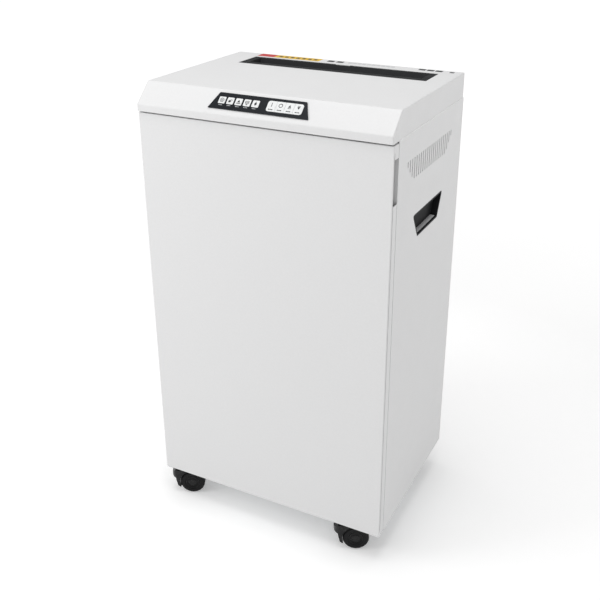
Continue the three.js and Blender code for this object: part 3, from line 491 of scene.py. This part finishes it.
def plan_face(shape, corners, radii):
    """Adds a flat face through corners in the XY plane, each rounded by its own radius."""
    made = [shape.verts.new((x, y, 0)) for x, y in corners]
    shape.faces.new(made)
    for radius in sorted(set(radii)):
        picked = [v for v, r in zip(made, radii) if r == radius]
        if radius > 0:
            bmesh.ops.bevel(shape, geom=picked, offset=radius, offset_type="OFFSET", segments=6,
                            profile=0.5, affect="VERTICES", clamp_overlap=True, material=-1)


def raised(shape, height):
    """Extrudes every face of a flat shape along Z into closed bodies."""
    extruded(shape, shape.faces[:], (0, 0, height))


def rounded_rim(shape, radius):
    """Rounds the edges round the faces that look up Z."""
    rim = {e for f in shape.faces if f.normal.z > FLAT for e in f.edges
           if e.is_manifold and e.calc_face_angle(0.0) > math.radians(35)}
    rounded_edges(shape, list(rim), radius, 2)


def plan_corners(x0, x1, y0, y1):
    """Corners of a rectangle in plan, in order round it."""
    return [(x0, y0), (x1, y0), (x1, y1), (x0, y1)]


def ring(shape, outer, inner, height, place, matrix, sides=24):
    """Adds a flat ring of rectangular section by spinning its section round Z."""
    before = set(shape.verts)
    section = [shape.verts.new((r, 0, z)) for r, z in
               ((inner, 0), (outer, 0), (outer, height), (inner, height))]
    edges = [shape.edges.new((section[i], section[(i + 1) % 4])) for i in range(4)]
    bmesh.ops.spin(shape, geom=section + edges, axis=(0, 0, 1), cent=(0, 0, 0),
                   angle=math.tau, steps=sides, use_merge=True)
    made = [v for v in shape.verts if v not in before]
    bmesh.ops.translate(shape, verts=made, vec=place)
    bmesh.ops.transform(shape, matrix=matrix, verts=made)


# ---- cabinet


def throat_rim():
    """Corners of the feed throat's upper rim."""
    _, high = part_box("feed_throat")
    return [v.co for v in frame["nodes"]["feed_throat"].data.vertices
            if v.co.z > high.z - EDGE_BAND]


def make_hood(settings):
    """Folded hood with the slot and the panel's window cut in it."""
    sheets = settings.sheets
    low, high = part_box("hood")
    low.x += sheets.hood_inset
    high.x -= sheets.hood_inset
    matrix = slope_matrix(settings)
    rise = high.z - matrix.translation.z
    slope_dir = matrix.to_3x3().col[1]
    run = rise * slope_dir.y / slope_dir.z
    shape = bmesh.new()
    profile = [(low.y, low.z), (low.y, low.z + sheets.lip_height), (low.y + run, high.z),
               (high.y, high.z), (high.y, low.z)]
    side = shape.faces.new([shape.verts.new((low.x, y, z)) for y, z in profile])
    extruded(shape, [side], (high.x - low.x, 0, 0))
    remove_faces(shape, lambda middle, normal: normal.z < -FLAT)
    rounded_edges(shape, [e for e in shape.edges if len(e.link_faces) == 2], sheets.hood_bend, 4)

    top = throat_rim()
    gap = settings.trim.print_gap
    x0, x1 = min(c.x for c in top) - gap, max(c.x for c in top) + gap
    y0, y1 = min(c.y for c in top) - gap, max(c.y for c in top) + gap
    cut_at(shape, "X", (x0, x1))
    cut_at(shape, "Y", (y0, y1))
    remove_faces(shape, lambda m, n: n.z > FLAT and x0 < m.x < x1 and y0 < m.y < y1)

    lights, keys = across_slope("light_guide", matrix), across_slope("key_forward", matrix)
    margin = 1.5 * MM
    w0, w1 = lights[0].x - margin, keys[1].x + margin
    s0, s1 = keys[0].y - margin, keys[1].y + margin
    cut_at(shape, "X", (w0, w1))
    for s in (s0, s1):
        cut_across(shape, matrix @ Vector((0, s, 0)), slope_dir)
    back = matrix.inverted()
    remove_faces(shape, lambda m, n: abs((back @ m).z) < 0.1 * MM and w0 < m.x < w1
                 and s0 < (back @ m).y < s1)
    finished("hood_shell", shape, "coat", "root", ["hood"], 32, sheets.hood_sheet)


def make_seam(settings):
    """Glossy quarter-round bead along the seam between the hood and each side panel; its white finish,
    lighter than the coat, is a painted highlight along the seam.
    """
    radius = settings.sheets.bead_radius
    low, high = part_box("side_panel_right")
    steps = 6
    shape = bmesh.new()
    for way in (1, -1):
        outline = [(0.0, 0.0)] + [(radius * math.cos(turn), radius * math.sin(turn)) for turn in
                                  (step * math.pi / 2 / steps for step in range(steps + 1))]
        end = shape.faces.new([shape.verts.new((way * (high.x - radius + x), low.y,
                                                high.z + 0.05 * MM + z)) for x, z in outline])
        extruded(shape, [end], (0, high.y - low.y, 0))
    finished("seam_highlight_beads", shape, "bead", "root", sharp=50)


def make_door(settings):
    """Door pan, its folds rounded, with the finger pull cut in the right return."""
    sheets = settings.sheets
    low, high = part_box("door_panel")
    shape = bmesh.new()
    block(shape, low, high)
    bmesh.ops.recalc_face_normals(shape, faces=shape.faces[:])
    remove_faces(shape, lambda middle, normal: normal.y > FLAT)
    rounded_edges(shape, [e for e in shape.edges if len(e.link_faces) == 2], sheets.door_bend, 4)
    rest = low.y + sheets.pull_rest
    slit = low.y + sheets.door_bend + 0.05 * MM
    slit_end = slit + sheets.door_slit
    foot, head = low.z + sheets.slit_margin, high.z - sheets.slit_margin
    cut_at(shape, "Z", (sheets.pull_bottom, sheets.pull_top))
    cut_at(shape, "Y", (rest, slit, slit_end))
    cut_at(shape, "Z", (foot, head))
    remove_faces(shape, lambda m, n: n.x > FLAT and foot < m.z < head and slit < m.y < slit_end)
    remove_faces(shape, lambda m, n: n.x > FLAT and m.y > rest
                 and sheets.pull_bottom < m.z < sheets.pull_top)
    finished("door_shell", shape, "coat", "door", ["door_panel"], 32,
             sheets.door_sheet)


def make_cabinet(settings):
    """Side and rear panels, base pan, deck, cover and chute."""
    for node in ("side_panel_right", "side_panel_left", "rear_panel"):
        dressed(node, "coat", settings.sheets.cut_edge)
    for node in ("base_pan", "mechanism_deck", "mechanism_cover", "chip_chute",
                 "hinge_bracket_bottom", "hinge_bracket_top"):
        dressed(node, "zinc", settings.sheets.cut_edge, 1)


def make_grips(settings):
    """Grip cups in the side panels, each with a pad on the floor of its hollow; the pad's pale colour
    is painted light where light falls on that floor.
    """
    wall, inset, thick, end_gap = 3 * MM, 3.4 * MM, 0.9 * MM, 1.5 * MM
    for side, way in (("right", 1), ("left", -1)):
        dressed(f"grip_cup_{side}", "black", settings.trim.moulded_edge, 3, 30)
        cup = [v.co for v in frame["nodes"][f"grip_cup_{side}"].data.vertices]
        face = max(v.x * way for v in cup)
        back = min(v.x * way for v in cup) + wall
        mouth = [v for v in cup if v.x * way > face - 1 * MM]
        levels = sorted({round(v.z, 5) for v in mouth})
        floor = next(z for z in levels if z > levels[0] + 2.5 * MM)
        ends = [v.y for v in mouth if abs(v.z - floor) < EDGE_BAND]
        pad = bmesh.new()
        xs = sorted((way * (back + 0.4 * MM), way * (face - inset)))
        block(pad, (xs[0], min(ends) + end_gap, floor + 0.02 * MM),
              (xs[1], max(ends) - end_gap, floor + thick))
        rounded_edges(pad, pad.edges[:], 0.3 * MM, 2)
        finished(f"grip_lit_floor_{side}", pad, "pad", "root")


def make_throat(settings):
    """Feed throat, the paper sensor and the small cover over it."""
    dressed("feed_throat", "black", settings.trim.moulded_edge, 3)
    dressed("paper_sensor", "dark", settings.trim.moulded_edge, 2)
    _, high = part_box("feed_throat")
    _, hood_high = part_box("hood")
    left, right, depth, rear_gap, rise = -2.8 * MM, 26.6 * MM, 3.9 * MM, 0.6 * MM, 0.9 * MM
    rear = max(c.y for c in throat_rim()) - rear_gap
    tab = bmesh.new()
    block(tab, (left, rear - depth, high.z - EDGE_BAND), (right, rear, hood_high.z + rise))
    rounded_edges(tab, tab.edges[:], 0.35 * MM, 2)
    finished("sensor_cover", tab, "keys", "root")


# ---- control panel


def printed_block(shape, x, y, width, height, base, thick, matrix):
    """Adds one flat bar of ink, centred on a place of the slope."""
    made = block(shape, (x - width / 2, y - height / 2, base),
                 (x + width / 2, y + height / 2, base + thick))
    bmesh.ops.transform(shape, matrix=matrix, verts=made)


def printed_polygon(shape, sides, radius, x, y, base, thick, matrix, turn=0.0):
    """Adds a flat many-sided patch of ink."""
    made = disc(shape, radius, thick, (0, 0, 0), sides)
    place = Matrix.Translation((x, y, base)) @ Matrix.Rotation(math.radians(turn), 4, "Z")
    bmesh.ops.transform(shape, matrix=matrix @ place, verts=made)


def symbol(shape, kind, middle, size, matrix, thick, base):
    """Adds one generic symbol, printed on the slope; its own numbers are parts of its size."""
    x, y = middle

    def bar(across, up, width, height):
        printed_block(shape, x + across * size, y + up * size, width * size, height * size, base,
                      thick, matrix)

    def patch(sides, radius, across=0.0, up=0.0, turn=0.0):
        printed_polygon(shape, sides, radius * size, x + across * size, y + up * size, base,
                        thick, matrix, turn)

    def hoop(outer, inner, across=0.0, up=0.0, sides=24):
        ring(shape, outer * size, inner * size, thick, (x + across * size, y + up * size, base),
             matrix, sides)

    if kind == "bar":
        bar(0, 0, 0.14, 1)
    elif kind == "ring":
        hoop(0.5, 0.35)
    elif kind == "double_ring":
        hoop(0.5, 0.4)
        hoop(0.25, 0.14)
    elif kind == "up":
        patch(3, 0.425)
        bar(0, -0.425, 0.75, 0.12)
    elif kind == "down":
        patch(3, 0.425, turn=180)
        bar(0, 0.425, 0.75, 0.12)
    elif kind == "triangle":
        patch(3, 0.4, up=0.075)
        bar(0, -0.375, 0.95, 0.16)
    elif kind == "diamond":
        patch(4, 0.36, turn=45)
        bar(0, 0, 0.12, 1.05)
    elif kind == "grid":
        for row in (0.38, 0.12, -0.14):
            bar(0, row, 0.9, 0.1)
        for column in (-0.4, 0.4):
            bar(column, 0.12, 0.1, 0.62)
        bar(0, -0.44, 0.42, 0.18)
    elif kind == "sheets":
        patch(4, 0.36, -0.16, -0.12, 45)
        hoop(0.31, 0.22, 0.18, 0.16, 4)
    else:
        raise ValueError(f"no symbol is called {kind}")


def make_panel(settings):
    """Control panel with rounded openings, its light windows, keys and symbols."""
    trim = settings.trim
    matrix = slope_matrix(settings)
    low, high = across_slope("control_panel", matrix)
    lights = across_slope("light_guide", matrix)
    keys = [across_slope(node, matrix) for node in KEY_SYMBOLS]
    gap, thick, width = trim.print_gap, trim.print_height, trim.light_width
    plate_corner, plate_rim, cap_rim, rib_inset = 0.8 * MM, 0.25 * MM, 0.35 * MM, 1 * MM
    pitch = (lights[1].x - lights[0].x - width) / (len(LIGHT_SYMBOLS) - 1)
    lefts = [lights[0].x + i * pitch for i in range(len(LIGHT_SYMBOLS))]
    back = matrix.inverted()
    guide_points = [back @ v.co for v in frame["nodes"]["light_guide"].data.vertices]
    tops = [v.y for v in guide_points if v.z > lights[1].z - 0.05 * MM]
    window_low, window_high = min(tops), max(tops)
    outline = [back @ v.co for v in frame["nodes"]["control_panel"].data.vertices]
    foot = [v.x for v in outline if v.y < low.y + 0.5 * MM]
    head = [v.x for v in outline if v.y > high.y - 0.5 * MM]
    plate = bmesh.new()
    plan_face(plate, [(min(foot), low.y), (max(foot), low.y), (max(head), high.y),
                      (min(head), high.y)], [plate_corner] * 4)
    for left in lefts:
        plan_face(plate, plan_corners(left - gap, left + width + gap, window_low - gap,
                                      window_high + gap), [trim.window_corner] * 4)
    plan_face(plate, plan_corners(keys[0][0].x - gap, keys[-1][1].x + gap, keys[0][0].y - gap,
                                  keys[0][1].y + gap), [trim.key_corner] * 4)
    bmesh.ops.delete(plate, geom=plate.faces[:], context="FACES_ONLY")
    bmesh.ops.triangle_fill(plate, use_beauty=True, edges=plate.edges[:], normal=(0, 0, 1))
    raised(plate, high.z - low.z)
    rounded_rim(plate, plate_rim)
    bmesh.ops.transform(plate, verts=plate.verts[:],
                        matrix=matrix @ Matrix.Translation((0, 0, low.z)))
    finished("control_panel_shown", plate, "film", "root", ["control_panel"])

    guide = bmesh.new()
    for left in lefts:
        plan_face(guide, plan_corners(left, left + width, window_low, window_high),
                  [trim.window_corner] * 4)
    raised(guide, lights[1].z - lights[0].z)
    rounded_rim(guide, 0.3 * MM)
    bmesh.ops.translate(guide, verts=guide.verts[:], vec=(0, 0, lights[0].z))
    block(guide, (lefts[0] + rib_inset, window_low + rib_inset, lights[0].z),
          (lefts[-1] + width - rib_inset, window_high - rib_inset, (lights[0].z + low.z) / 2))
    bmesh.ops.transform(guide, verts=guide.verts[:], matrix=matrix)
    finished("light_guide_shown", guide, "keys", "root", ["light_guide"])
    dressed("control_board", "board", 0.0)

    marks, captions = bmesh.new(), bmesh.new()
    for left, kind in zip(lefts, LIGHT_SYMBOLS):
        x = left + width / 2
        symbol(marks, kind, (x, (window_low + window_high) / 2), trim.symbol_size, matrix, thick,
               lights[1].z + INK_GAP)
        for step in (-1, 0, 1):
            printed_block(captions, x + step * 2.4 * MM, window_low - 2.8 * MM, 1.9 * MM, 1.0 * MM,
                          high.z + INK_GAP, thick, matrix)
    finished("light_symbols", marks, "ink", "root")
    finished("light_captions", captions, "pale_ink", "root")

    inner_corner = 0.3 * MM
    for (node, kind), (key_low, key_high) in zip(KEY_SYMBOLS.items(), keys):
        left = trim.key_corner if node == "key_start" else inner_corner
        right = trim.key_corner if node == "key_forward" else inner_corner
        cap = bmesh.new()
        plan_face(cap, plan_corners(key_low.x, key_high.x, key_low.y, key_high.y),
                  [left, right, right, left])
        raised(cap, key_high.z - key_low.z)
        rounded_rim(cap, cap_rim)
        bmesh.ops.transform(cap, verts=cap.verts[:],
                            matrix=matrix @ Matrix.Translation((0, 0, key_low.z)))
        finished(f"{node}_shown", cap, "keys", node, [node])

        x, y = (key_low.x + key_high.x) / 2, (key_low.y + key_high.y) / 2
        base = key_high.z + INK_GAP
        ink = bmesh.new()
        symbol(ink, kind, (x, y + 2.6 * MM), trim.symbol_size * 0.95, matrix, thick, base)
        for step in (-1, 0, 1):
            printed_block(ink, x + step * 2.8 * MM, key_low.y + 3.6 * MM, 2.3 * MM, 1.6 * MM, base,
                          thick, matrix)
        finished(f"{node}_symbol", ink, "ink", node)


def make_label(settings):
    """Plain two-colour label and plain marks behind the slot, with no lettering."""
    _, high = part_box("hood")
    height = settings.trim.print_height
    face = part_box("door_panel")[0].y
    top = high.z + INK_GAP

    def patches(name, finish, rows):
        """Rows give left, right, front and rear in millimetres, the last two from the door."""
        shape = bmesh.new()
        base = top if finish.startswith("label") else top + height
        for x0, x1, y0, y1 in rows:
            block(shape, (x0 * MM, face + y0 * MM, base), (x1 * MM, face + y1 * MM, base + height))
        finished(name, shape, finish, "root")

    patches("label_red_block", "label_red", [(-179, -143.2, 314, 337)])
    patches("label_yellow_block", "label_yellow", [(-142.8, -46, 314, 337)])
    patches("label_dark_marks", "ink",
            [(-135 + 12.5 * i, -128 + 12.5 * i, 321, 330) for i in range(7)]
            + [(-31, -17, 320, 332), (-12, 2, 320, 332)]
            + [(152 + 16 * i, 165 + 16 * i, 322, 333) for i in range(3)] + [(211, 219, 322, 330)])
    patches("label_pale_marks", "pale_ink",
            [(12 + 9.5 * i, 19.5 + 9.5 * i, 323, 330) for i in range(10)])


# ---- rear fittings


def make_rear_fittings(settings):
    """Mains inlet with its blades, and the main switch."""
    for node in ("power_inlet", "switch_frame", "power_rocker"):
        dressed(node, "black", settings.trim.fitting_edge, 2)
    low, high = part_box("power_inlet")
    width, height, root, tip = 2 * MM, 4 * MM, 19 * MM, 5 * MM
    blades = bmesh.new()
    for across, up in ((-7 * MM, -2 * MM), (0.0, 2 * MM), (7 * MM, -2 * MM)):
        x, z = (low.x + high.x) / 2 + across, (low.z + high.z) / 2 + up
        block(blades, (x - width / 2, high.y - root, z - height / 2),
              (x + width / 2, high.y - tip, z + height / 2))
    rounded_edges(blades, blades.edges[:], 0.3 * MM, 1)
    finished("inlet_blades", blades, "brass", "root")


# ---- mechanism


def make_mechanism(settings):
    """Cutters, gears, combs, head plates, rods, motor and electrics."""
    edge = settings.metal.machined_edge
    for node in ("cutter_front", "cutter_rear", "idler_stud", "tie_rod_front", "tie_rod_rear",
                 "strike_plate"):
        dressed(node, "steel", edge, 2, 40)
    for node in ("sync_gear_front", "sync_gear_rear", "idler_gear", "motor_pinion"):
        dressed(node, "gear", edge, 1, 40)
    for node in ("comb_front", "comb_rear", "head_plate_left", "head_plate_right"):
        dressed(node, "zinc", edge, 1)
    dressed("motor_housing", "motor", 1.2 * MM, 2)
    dressed("run_capacitor", "can", 0.8 * MM, 2)
    dressed("power_board", "board", 0.0)
    dressed("magnet_catch", "dark", 0.6 * MM, 2)
    dressed("door_switch", "dark", 0.5 * MM, 2)


def make_bin(settings):
    """Waste bin with rounded corners."""
    dressed("waste_bin", "bin", settings.trim.bin_edge, 3, 30)


# ---- casters


def make_casters(settings):
    """Plates, housings and wheels, with hub caps on the wheels."""
    cap_foot, cap_face, cap_height = 8.5 * MM, 7.2 * MM, 1.1 * MM
    rim_outer, rim_inner, rim_height = 13.5 * MM, 12.3 * MM, 0.7 * MM
    recess = 1.5 * MM
    for place in PLACES:
        dressed(f"caster_plate_{place}", "black_zinc", 0.4 * MM, 2)
        dressed(f"caster_housing_{place}", "nylon", settings.metal.fender_edge, 4, 38)
        dressed(f"caster_wheels_{place}", "tread", 0.5 * MM, 2, 40)
        roll = next(j for j in frame["joints"] if j["name"] == f"wheels_{place}_roll")
        axis = Vector(roll["axis"]).normalized()
        middle = Vector(roll["pos_m"])
        reach = max(abs((v.co - middle).dot(axis))
                    for v in frame["nodes"][f"caster_wheels_{place}"].data.vertices)
        caps = bmesh.new()
        for way in (1, -1):
            turn = (axis * way).to_track_quat("Z", "Y").to_matrix().to_4x4()
            turn.translation = middle + axis * way * (reach - recess)
            disc(caps, cap_foot, cap_height, (0, 0, 0), 28, turn, cap_face)
            ring(caps, rim_outer, rim_inner, rim_height, (0, 0, 0), turn, 32)
        finished(f"hub_caps_{place}", caps, "nylon", f"wheels_{place}")


# ---- fasteners


def screw_heads(name, places, out, radius, height, finish="fastener"):
    """Pan heads with a round recess, standing on their places."""
    shape = bmesh.new()
    turn = Vector(out).to_track_quat("Z", "Y").to_matrix().to_4x4()
    for place in places:
        stand = turn.copy()
        stand.translation = place
        head = bmesh.new()
        disc(head, radius, height, (0, 0, 0), 18)
        top = max(head.faces, key=lambda f: f.calc_center_median().z)
        bmesh.ops.inset_individual(head, faces=[top], thickness=radius * 0.28, depth=0.0)
        inner = set(top.verts)
        rim = [v for v in head.verts if v.co.z > height * 0.5 and v not in inner]
        bmesh.ops.translate(head, verts=rim, vec=(0, 0, -height * 0.4))
        bmesh.ops.inset_individual(head, faces=[top], thickness=radius * 0.30, depth=0.0)
        bmesh.ops.inset_individual(head, faces=[top], thickness=radius * 0.04, depth=-height * 0.55)
        bmesh.ops.transform(head, matrix=stand, verts=head.verts[:])
        joined_to(shape, head)
    finished(name, shape, finish, "root")


def make_fasteners(settings):
    """Screws of the rear panel, head plates and caster plates."""
    metal = settings.metal
    low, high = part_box("rear_panel")
    inset = 10 * MM
    rows = [low.z + 15 * MM + i * (high.z - low.z - 30 * MM) / 4 for i in range(5)]
    columns = (-120 * MM, 0.0, 120 * MM)
    places = [(x, high.y, z) for x in (low.x + inset, high.x - inset) for z in rows]
    places += [(x, high.y, z) for z in (high.z - inset, low.z + inset) for x in columns]
    screw_heads("rear_panel_screws", places, (0, 1, 0), metal.screw_radius, metal.screw_height)

    foot_thick, foot_inset, foot_end = 5 * MM, 8 * MM, 15 * MM
    feet = []
    for node, side in (("head_plate_left", -1), ("head_plate_right", 1)):
        low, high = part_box(node)
        x = (low.x if side < 0 else high.x) - side * foot_inset
        feet += [(x, y, low.z + foot_thick) for y in (low.y + foot_end, high.y - foot_end)]
    screw_heads("head_plate_screws", feet, (0, 0, 1), 4.2 * MM, 2.6 * MM)

    plate_thick, corner = 3 * MM, 6 * MM
    bolts = []
    for place in PLACES:
        low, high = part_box(f"caster_plate_{place}")
        bolts += [(x, y, high.z - plate_thick) for x in (low.x + corner, high.x - corner)
                  for y in (low.y + corner, high.y - corner)]
    screw_heads("caster_plate_screws", bolts, (0, 0, -1), 3.2 * MM, 2.0 * MM, "black_zinc")


# ---- stage


def area_light(name, place, aim, size, power):
    """A soft square light aimed at a point."""
    data = bpy.data.lights.new(name, "AREA")
    data.shape = "SQUARE"
    data.size = size
    data.energy = power
    lamp = bpy.data.objects.new(name, data)
    bpy.context.scene.collection.objects.link(lamp)
    lamp.location = place
    lamp.rotation_euler = (Vector(aim) - Vector(place)).to_track_quat("-Z", "Y").to_euler()


def make_stage(settings):
    """Plain floor, camera and soft studio light."""
    stage = settings.stage
    floor_half, glow_start, glow_end = 60.0, 1.0, 3.0
    shape = bmesh.new()
    bmesh.ops.create_grid(shape, x_segments=1, y_segments=1, size=floor_half)
    mesh = bpy.data.meshes.new("floor")
    shape.to_mesh(mesh)
    shape.free()
    material, tree, shader, where = bare_material("pale_floor", stage.floor, 0.85)
    tinted(tree, shader, noise(tree, where, 3), stage.floor, 0.995, 1.0)
    reach = tree.nodes.new("ShaderNodeVectorMath")
    reach.operation = "LENGTH"
    glow = tree.nodes.new("ShaderNodeMapRange")
    socket_set(glow, From_Min=glow_start, From_Max=glow_end, To_Min=stage.glow_near,
               To_Max=stage.glow_far)
    tree.links.new(where, reach.inputs[0])
    tree.links.new(reach.outputs["Value"], glow.inputs["Value"])
    tree.links.new(glow.outputs["Result"], shader.inputs["Emission Strength"])
    socket_set(shader, Emission_Color=(1, 1, 1, 1))
    mesh.materials.append(material)
    floor = bpy.data.objects.new("floor", mesh)
    bpy.context.scene.collection.objects.link(floor)

    world = bpy.data.worlds.new("studio")
    bpy.context.scene.world = world
    world.use_nodes = True
    sky = world.node_tree
    socket_set(sky.nodes["Background"], Color=(1, 1, 1, 1), Strength=0.48)
    seen = sky.nodes.new("ShaderNodeBackground")
    rays = sky.nodes.new("ShaderNodeLightPath")
    either = sky.nodes.new("ShaderNodeMixShader")
    socket_set(seen, Color=(1, 1, 1, 1), Strength=1.0)
    sky.links.new(rays.outputs["Is Camera Ray"], either.inputs["Fac"])
    sky.links.new(sky.nodes["Background"].outputs["Background"], either.inputs[1])
    sky.links.new(seen.outputs["Background"], either.inputs[2])
    sky.links.new(either.outputs["Shader"], sky.nodes["World Output"].inputs["Surface"])
    area_light("key_light", (-1.3, -1.1, 1.3), (-0.2, 0, 0.5), 0.8, 8)
    area_light("top_light", (0, -0.25, 2.8), (0, 0, 0.8), 1.6, 26)
    bpy.context.scene.view_settings.view_transform = "Standard"

    data = bpy.data.cameras.new("camera")
    data.sensor_width = 36
    data.lens = stage.camera_lens
    data.shift_x, data.shift_y = stage.camera_shift
    camera = bpy.data.objects.new("camera", data)
    bpy.context.scene.collection.objects.link(camera)
    turn, rise = stage.camera_turn, stage.camera_rise
    back = Vector((math.sin(turn) * math.cos(rise), -math.cos(turn) * math.cos(rise),
                   math.sin(rise)))
    camera.location = stage.camera_place
    camera.rotation_euler = (-back).to_track_quat("-Z", "Y").to_euler()
    bpy.context.scene.camera = camera


# ---- add-on


class ShredderSettings(bpy.types.PropertyGroup):
    """All sizes and colours of the shredder."""

    sheets: PointerProperty(type=SheetSettings)
    trim: PointerProperty(type=TrimSettings)
    metal: PointerProperty(type=MetalSettings)
    stage: PointerProperty(type=StageSettings)


def built(make, context):
    """Runs one step on the scene's settings."""
    make(context.scene.shredder)
    return {"FINISHED"}


class SHREDDER_OT_finishes(bpy.types.Operator):
    """Make every finish of the shredder"""

    bl_idname = "shredder.finishes"
    bl_label = "Finishes"

    def execute(self, context):
        return built(make_finishes, context)


class SHREDDER_OT_hood(bpy.types.Operator):
    """Build the folded hood with its slot and window"""

    bl_idname = "shredder.hood"
    bl_label = "Hood"

    def execute(self, context):
        return built(make_hood, context)


class SHREDDER_OT_seam(bpy.types.Operator):
    """Build the bead along the hood's seam, its white finish a painted highlight"""

    bl_idname = "shredder.seam"
    bl_label = "Seam beads"

    def execute(self, context):
        return built(make_seam, context)


class SHREDDER_OT_door(bpy.types.Operator):
    """Build the door pan with its finger pull"""

    bl_idname = "shredder.door"
    bl_label = "Door"

    def execute(self, context):
        return built(make_door, context)


class SHREDDER_OT_cabinet(bpy.types.Operator):
    """Build the side and rear panels, base pan, deck, cover and chute"""

    bl_idname = "shredder.cabinet"
    bl_label = "Cabinet"

    def execute(self, context):
        return built(make_cabinet, context)


class SHREDDER_OT_grips(bpy.types.Operator):
    """Build the side grips and their pads, whose pale colour paints light on the hollows' floors"""

    bl_idname = "shredder.grips"
    bl_label = "Grips"

    def execute(self, context):
        return built(make_grips, context)


class SHREDDER_OT_throat(bpy.types.Operator):
    """Build the feed throat, sensor and sensor cover"""

    bl_idname = "shredder.throat"
    bl_label = "Feed throat"

    def execute(self, context):
        return built(make_throat, context)


class SHREDDER_OT_panel(bpy.types.Operator):
    """Build the panel, lights, keys and symbols"""

    bl_idname = "shredder.panel"
    bl_label = "Control panel"

    def execute(self, context):
        return built(make_panel, context)


class SHREDDER_OT_label(bpy.types.Operator):
    """Build the plain label behind the slot"""

    bl_idname = "shredder.label"
    bl_label = "Label"

    def execute(self, context):
        return built(make_label, context)


class SHREDDER_OT_rear_fittings(bpy.types.Operator):
    """Build the mains inlet and main switch"""

    bl_idname = "shredder.rear_fittings"
    bl_label = "Rear fittings"

    def execute(self, context):
        return built(make_rear_fittings, context)


class SHREDDER_OT_mechanism(bpy.types.Operator):
    """Build the cutters, gears, motor and electrics"""

    bl_idname = "shredder.mechanism"
    bl_label = "Mechanism"

    def execute(self, context):
        return built(make_mechanism, context)


class SHREDDER_OT_bin(bpy.types.Operator):
    """Build the waste bin"""

    bl_idname = "shredder.bin"
    bl_label = "Waste bin"

    def execute(self, context):
        return built(make_bin, context)


class SHREDDER_OT_casters(bpy.types.Operator):
    """Build the casters and their hub caps"""

    bl_idname = "shredder.casters"
    bl_label = "Casters"

    def execute(self, context):
        return built(make_casters, context)


class SHREDDER_OT_fasteners(bpy.types.Operator):
    """Build the screws"""

    bl_idname = "shredder.fasteners"
    bl_label = "Fasteners"

    def execute(self, context):
        return built(make_fasteners, context)


class SHREDDER_OT_stage(bpy.types.Operator):
    """Build the floor, camera and lights"""

    bl_idname = "shredder.stage"
    bl_label = "Stage"

    def execute(self, context):
        return built(make_stage, context)


OPERATORS = (
    SHREDDER_OT_finishes, SHREDDER_OT_hood, SHREDDER_OT_seam, SHREDDER_OT_door,
    SHREDDER_OT_cabinet, SHREDDER_OT_grips, SHREDDER_OT_throat, SHREDDER_OT_panel,
    SHREDDER_OT_label, SHREDDER_OT_rear_fittings, SHREDDER_OT_mechanism, SHREDDER_OT_bin,
    SHREDDER_OT_casters, SHREDDER_OT_fasteners, SHREDDER_OT_stage,
)


class SHREDDER_PT_build(bpy.types.Panel):
    """Lists every step of the shredder's looks."""

    bl_idname = "SHREDDER_PT_build"
    bl_label = "Shredder"
    bl_space_type = "VIEW_3D"
    bl_region_type = "UI"
    bl_category = "Shredder"

    def draw(self, context):
        for step in OPERATORS:
            self.layout.operator(step.bl_idname, text=step.bl_label)
        for group in ("sheets", "trim", "metal", "stage"):
            settings = getattr(context.scene.shredder, group)
            box = self.layout.box()
            for prop in settings.bl_rna.properties:
                if prop.identifier not in ("rna_type", "name"):
                    box.prop(settings, prop.identifier)


classes = [SheetSettings, TrimSettings, MetalSettings, StageSettings, ShredderSettings,
           *OPERATORS, SHREDDER_PT_build]


def register():
    for cls in classes:
        bpy.utils.register_class(cls)
    bpy.types.Scene.shredder = PointerProperty(type=ShredderSettings)


def unregister():
    del bpy.types.Scene.shredder
    for cls in reversed(classes):
        bpy.utils.unregister_class(cls)


def main():
    register()
    for step in OPERATORS:
        getattr(bpy.ops.shredder, step.bl_idname.split(".")[1])()
    bpy.context.view_layer.update()


if __name__ == "__main__":
    main()
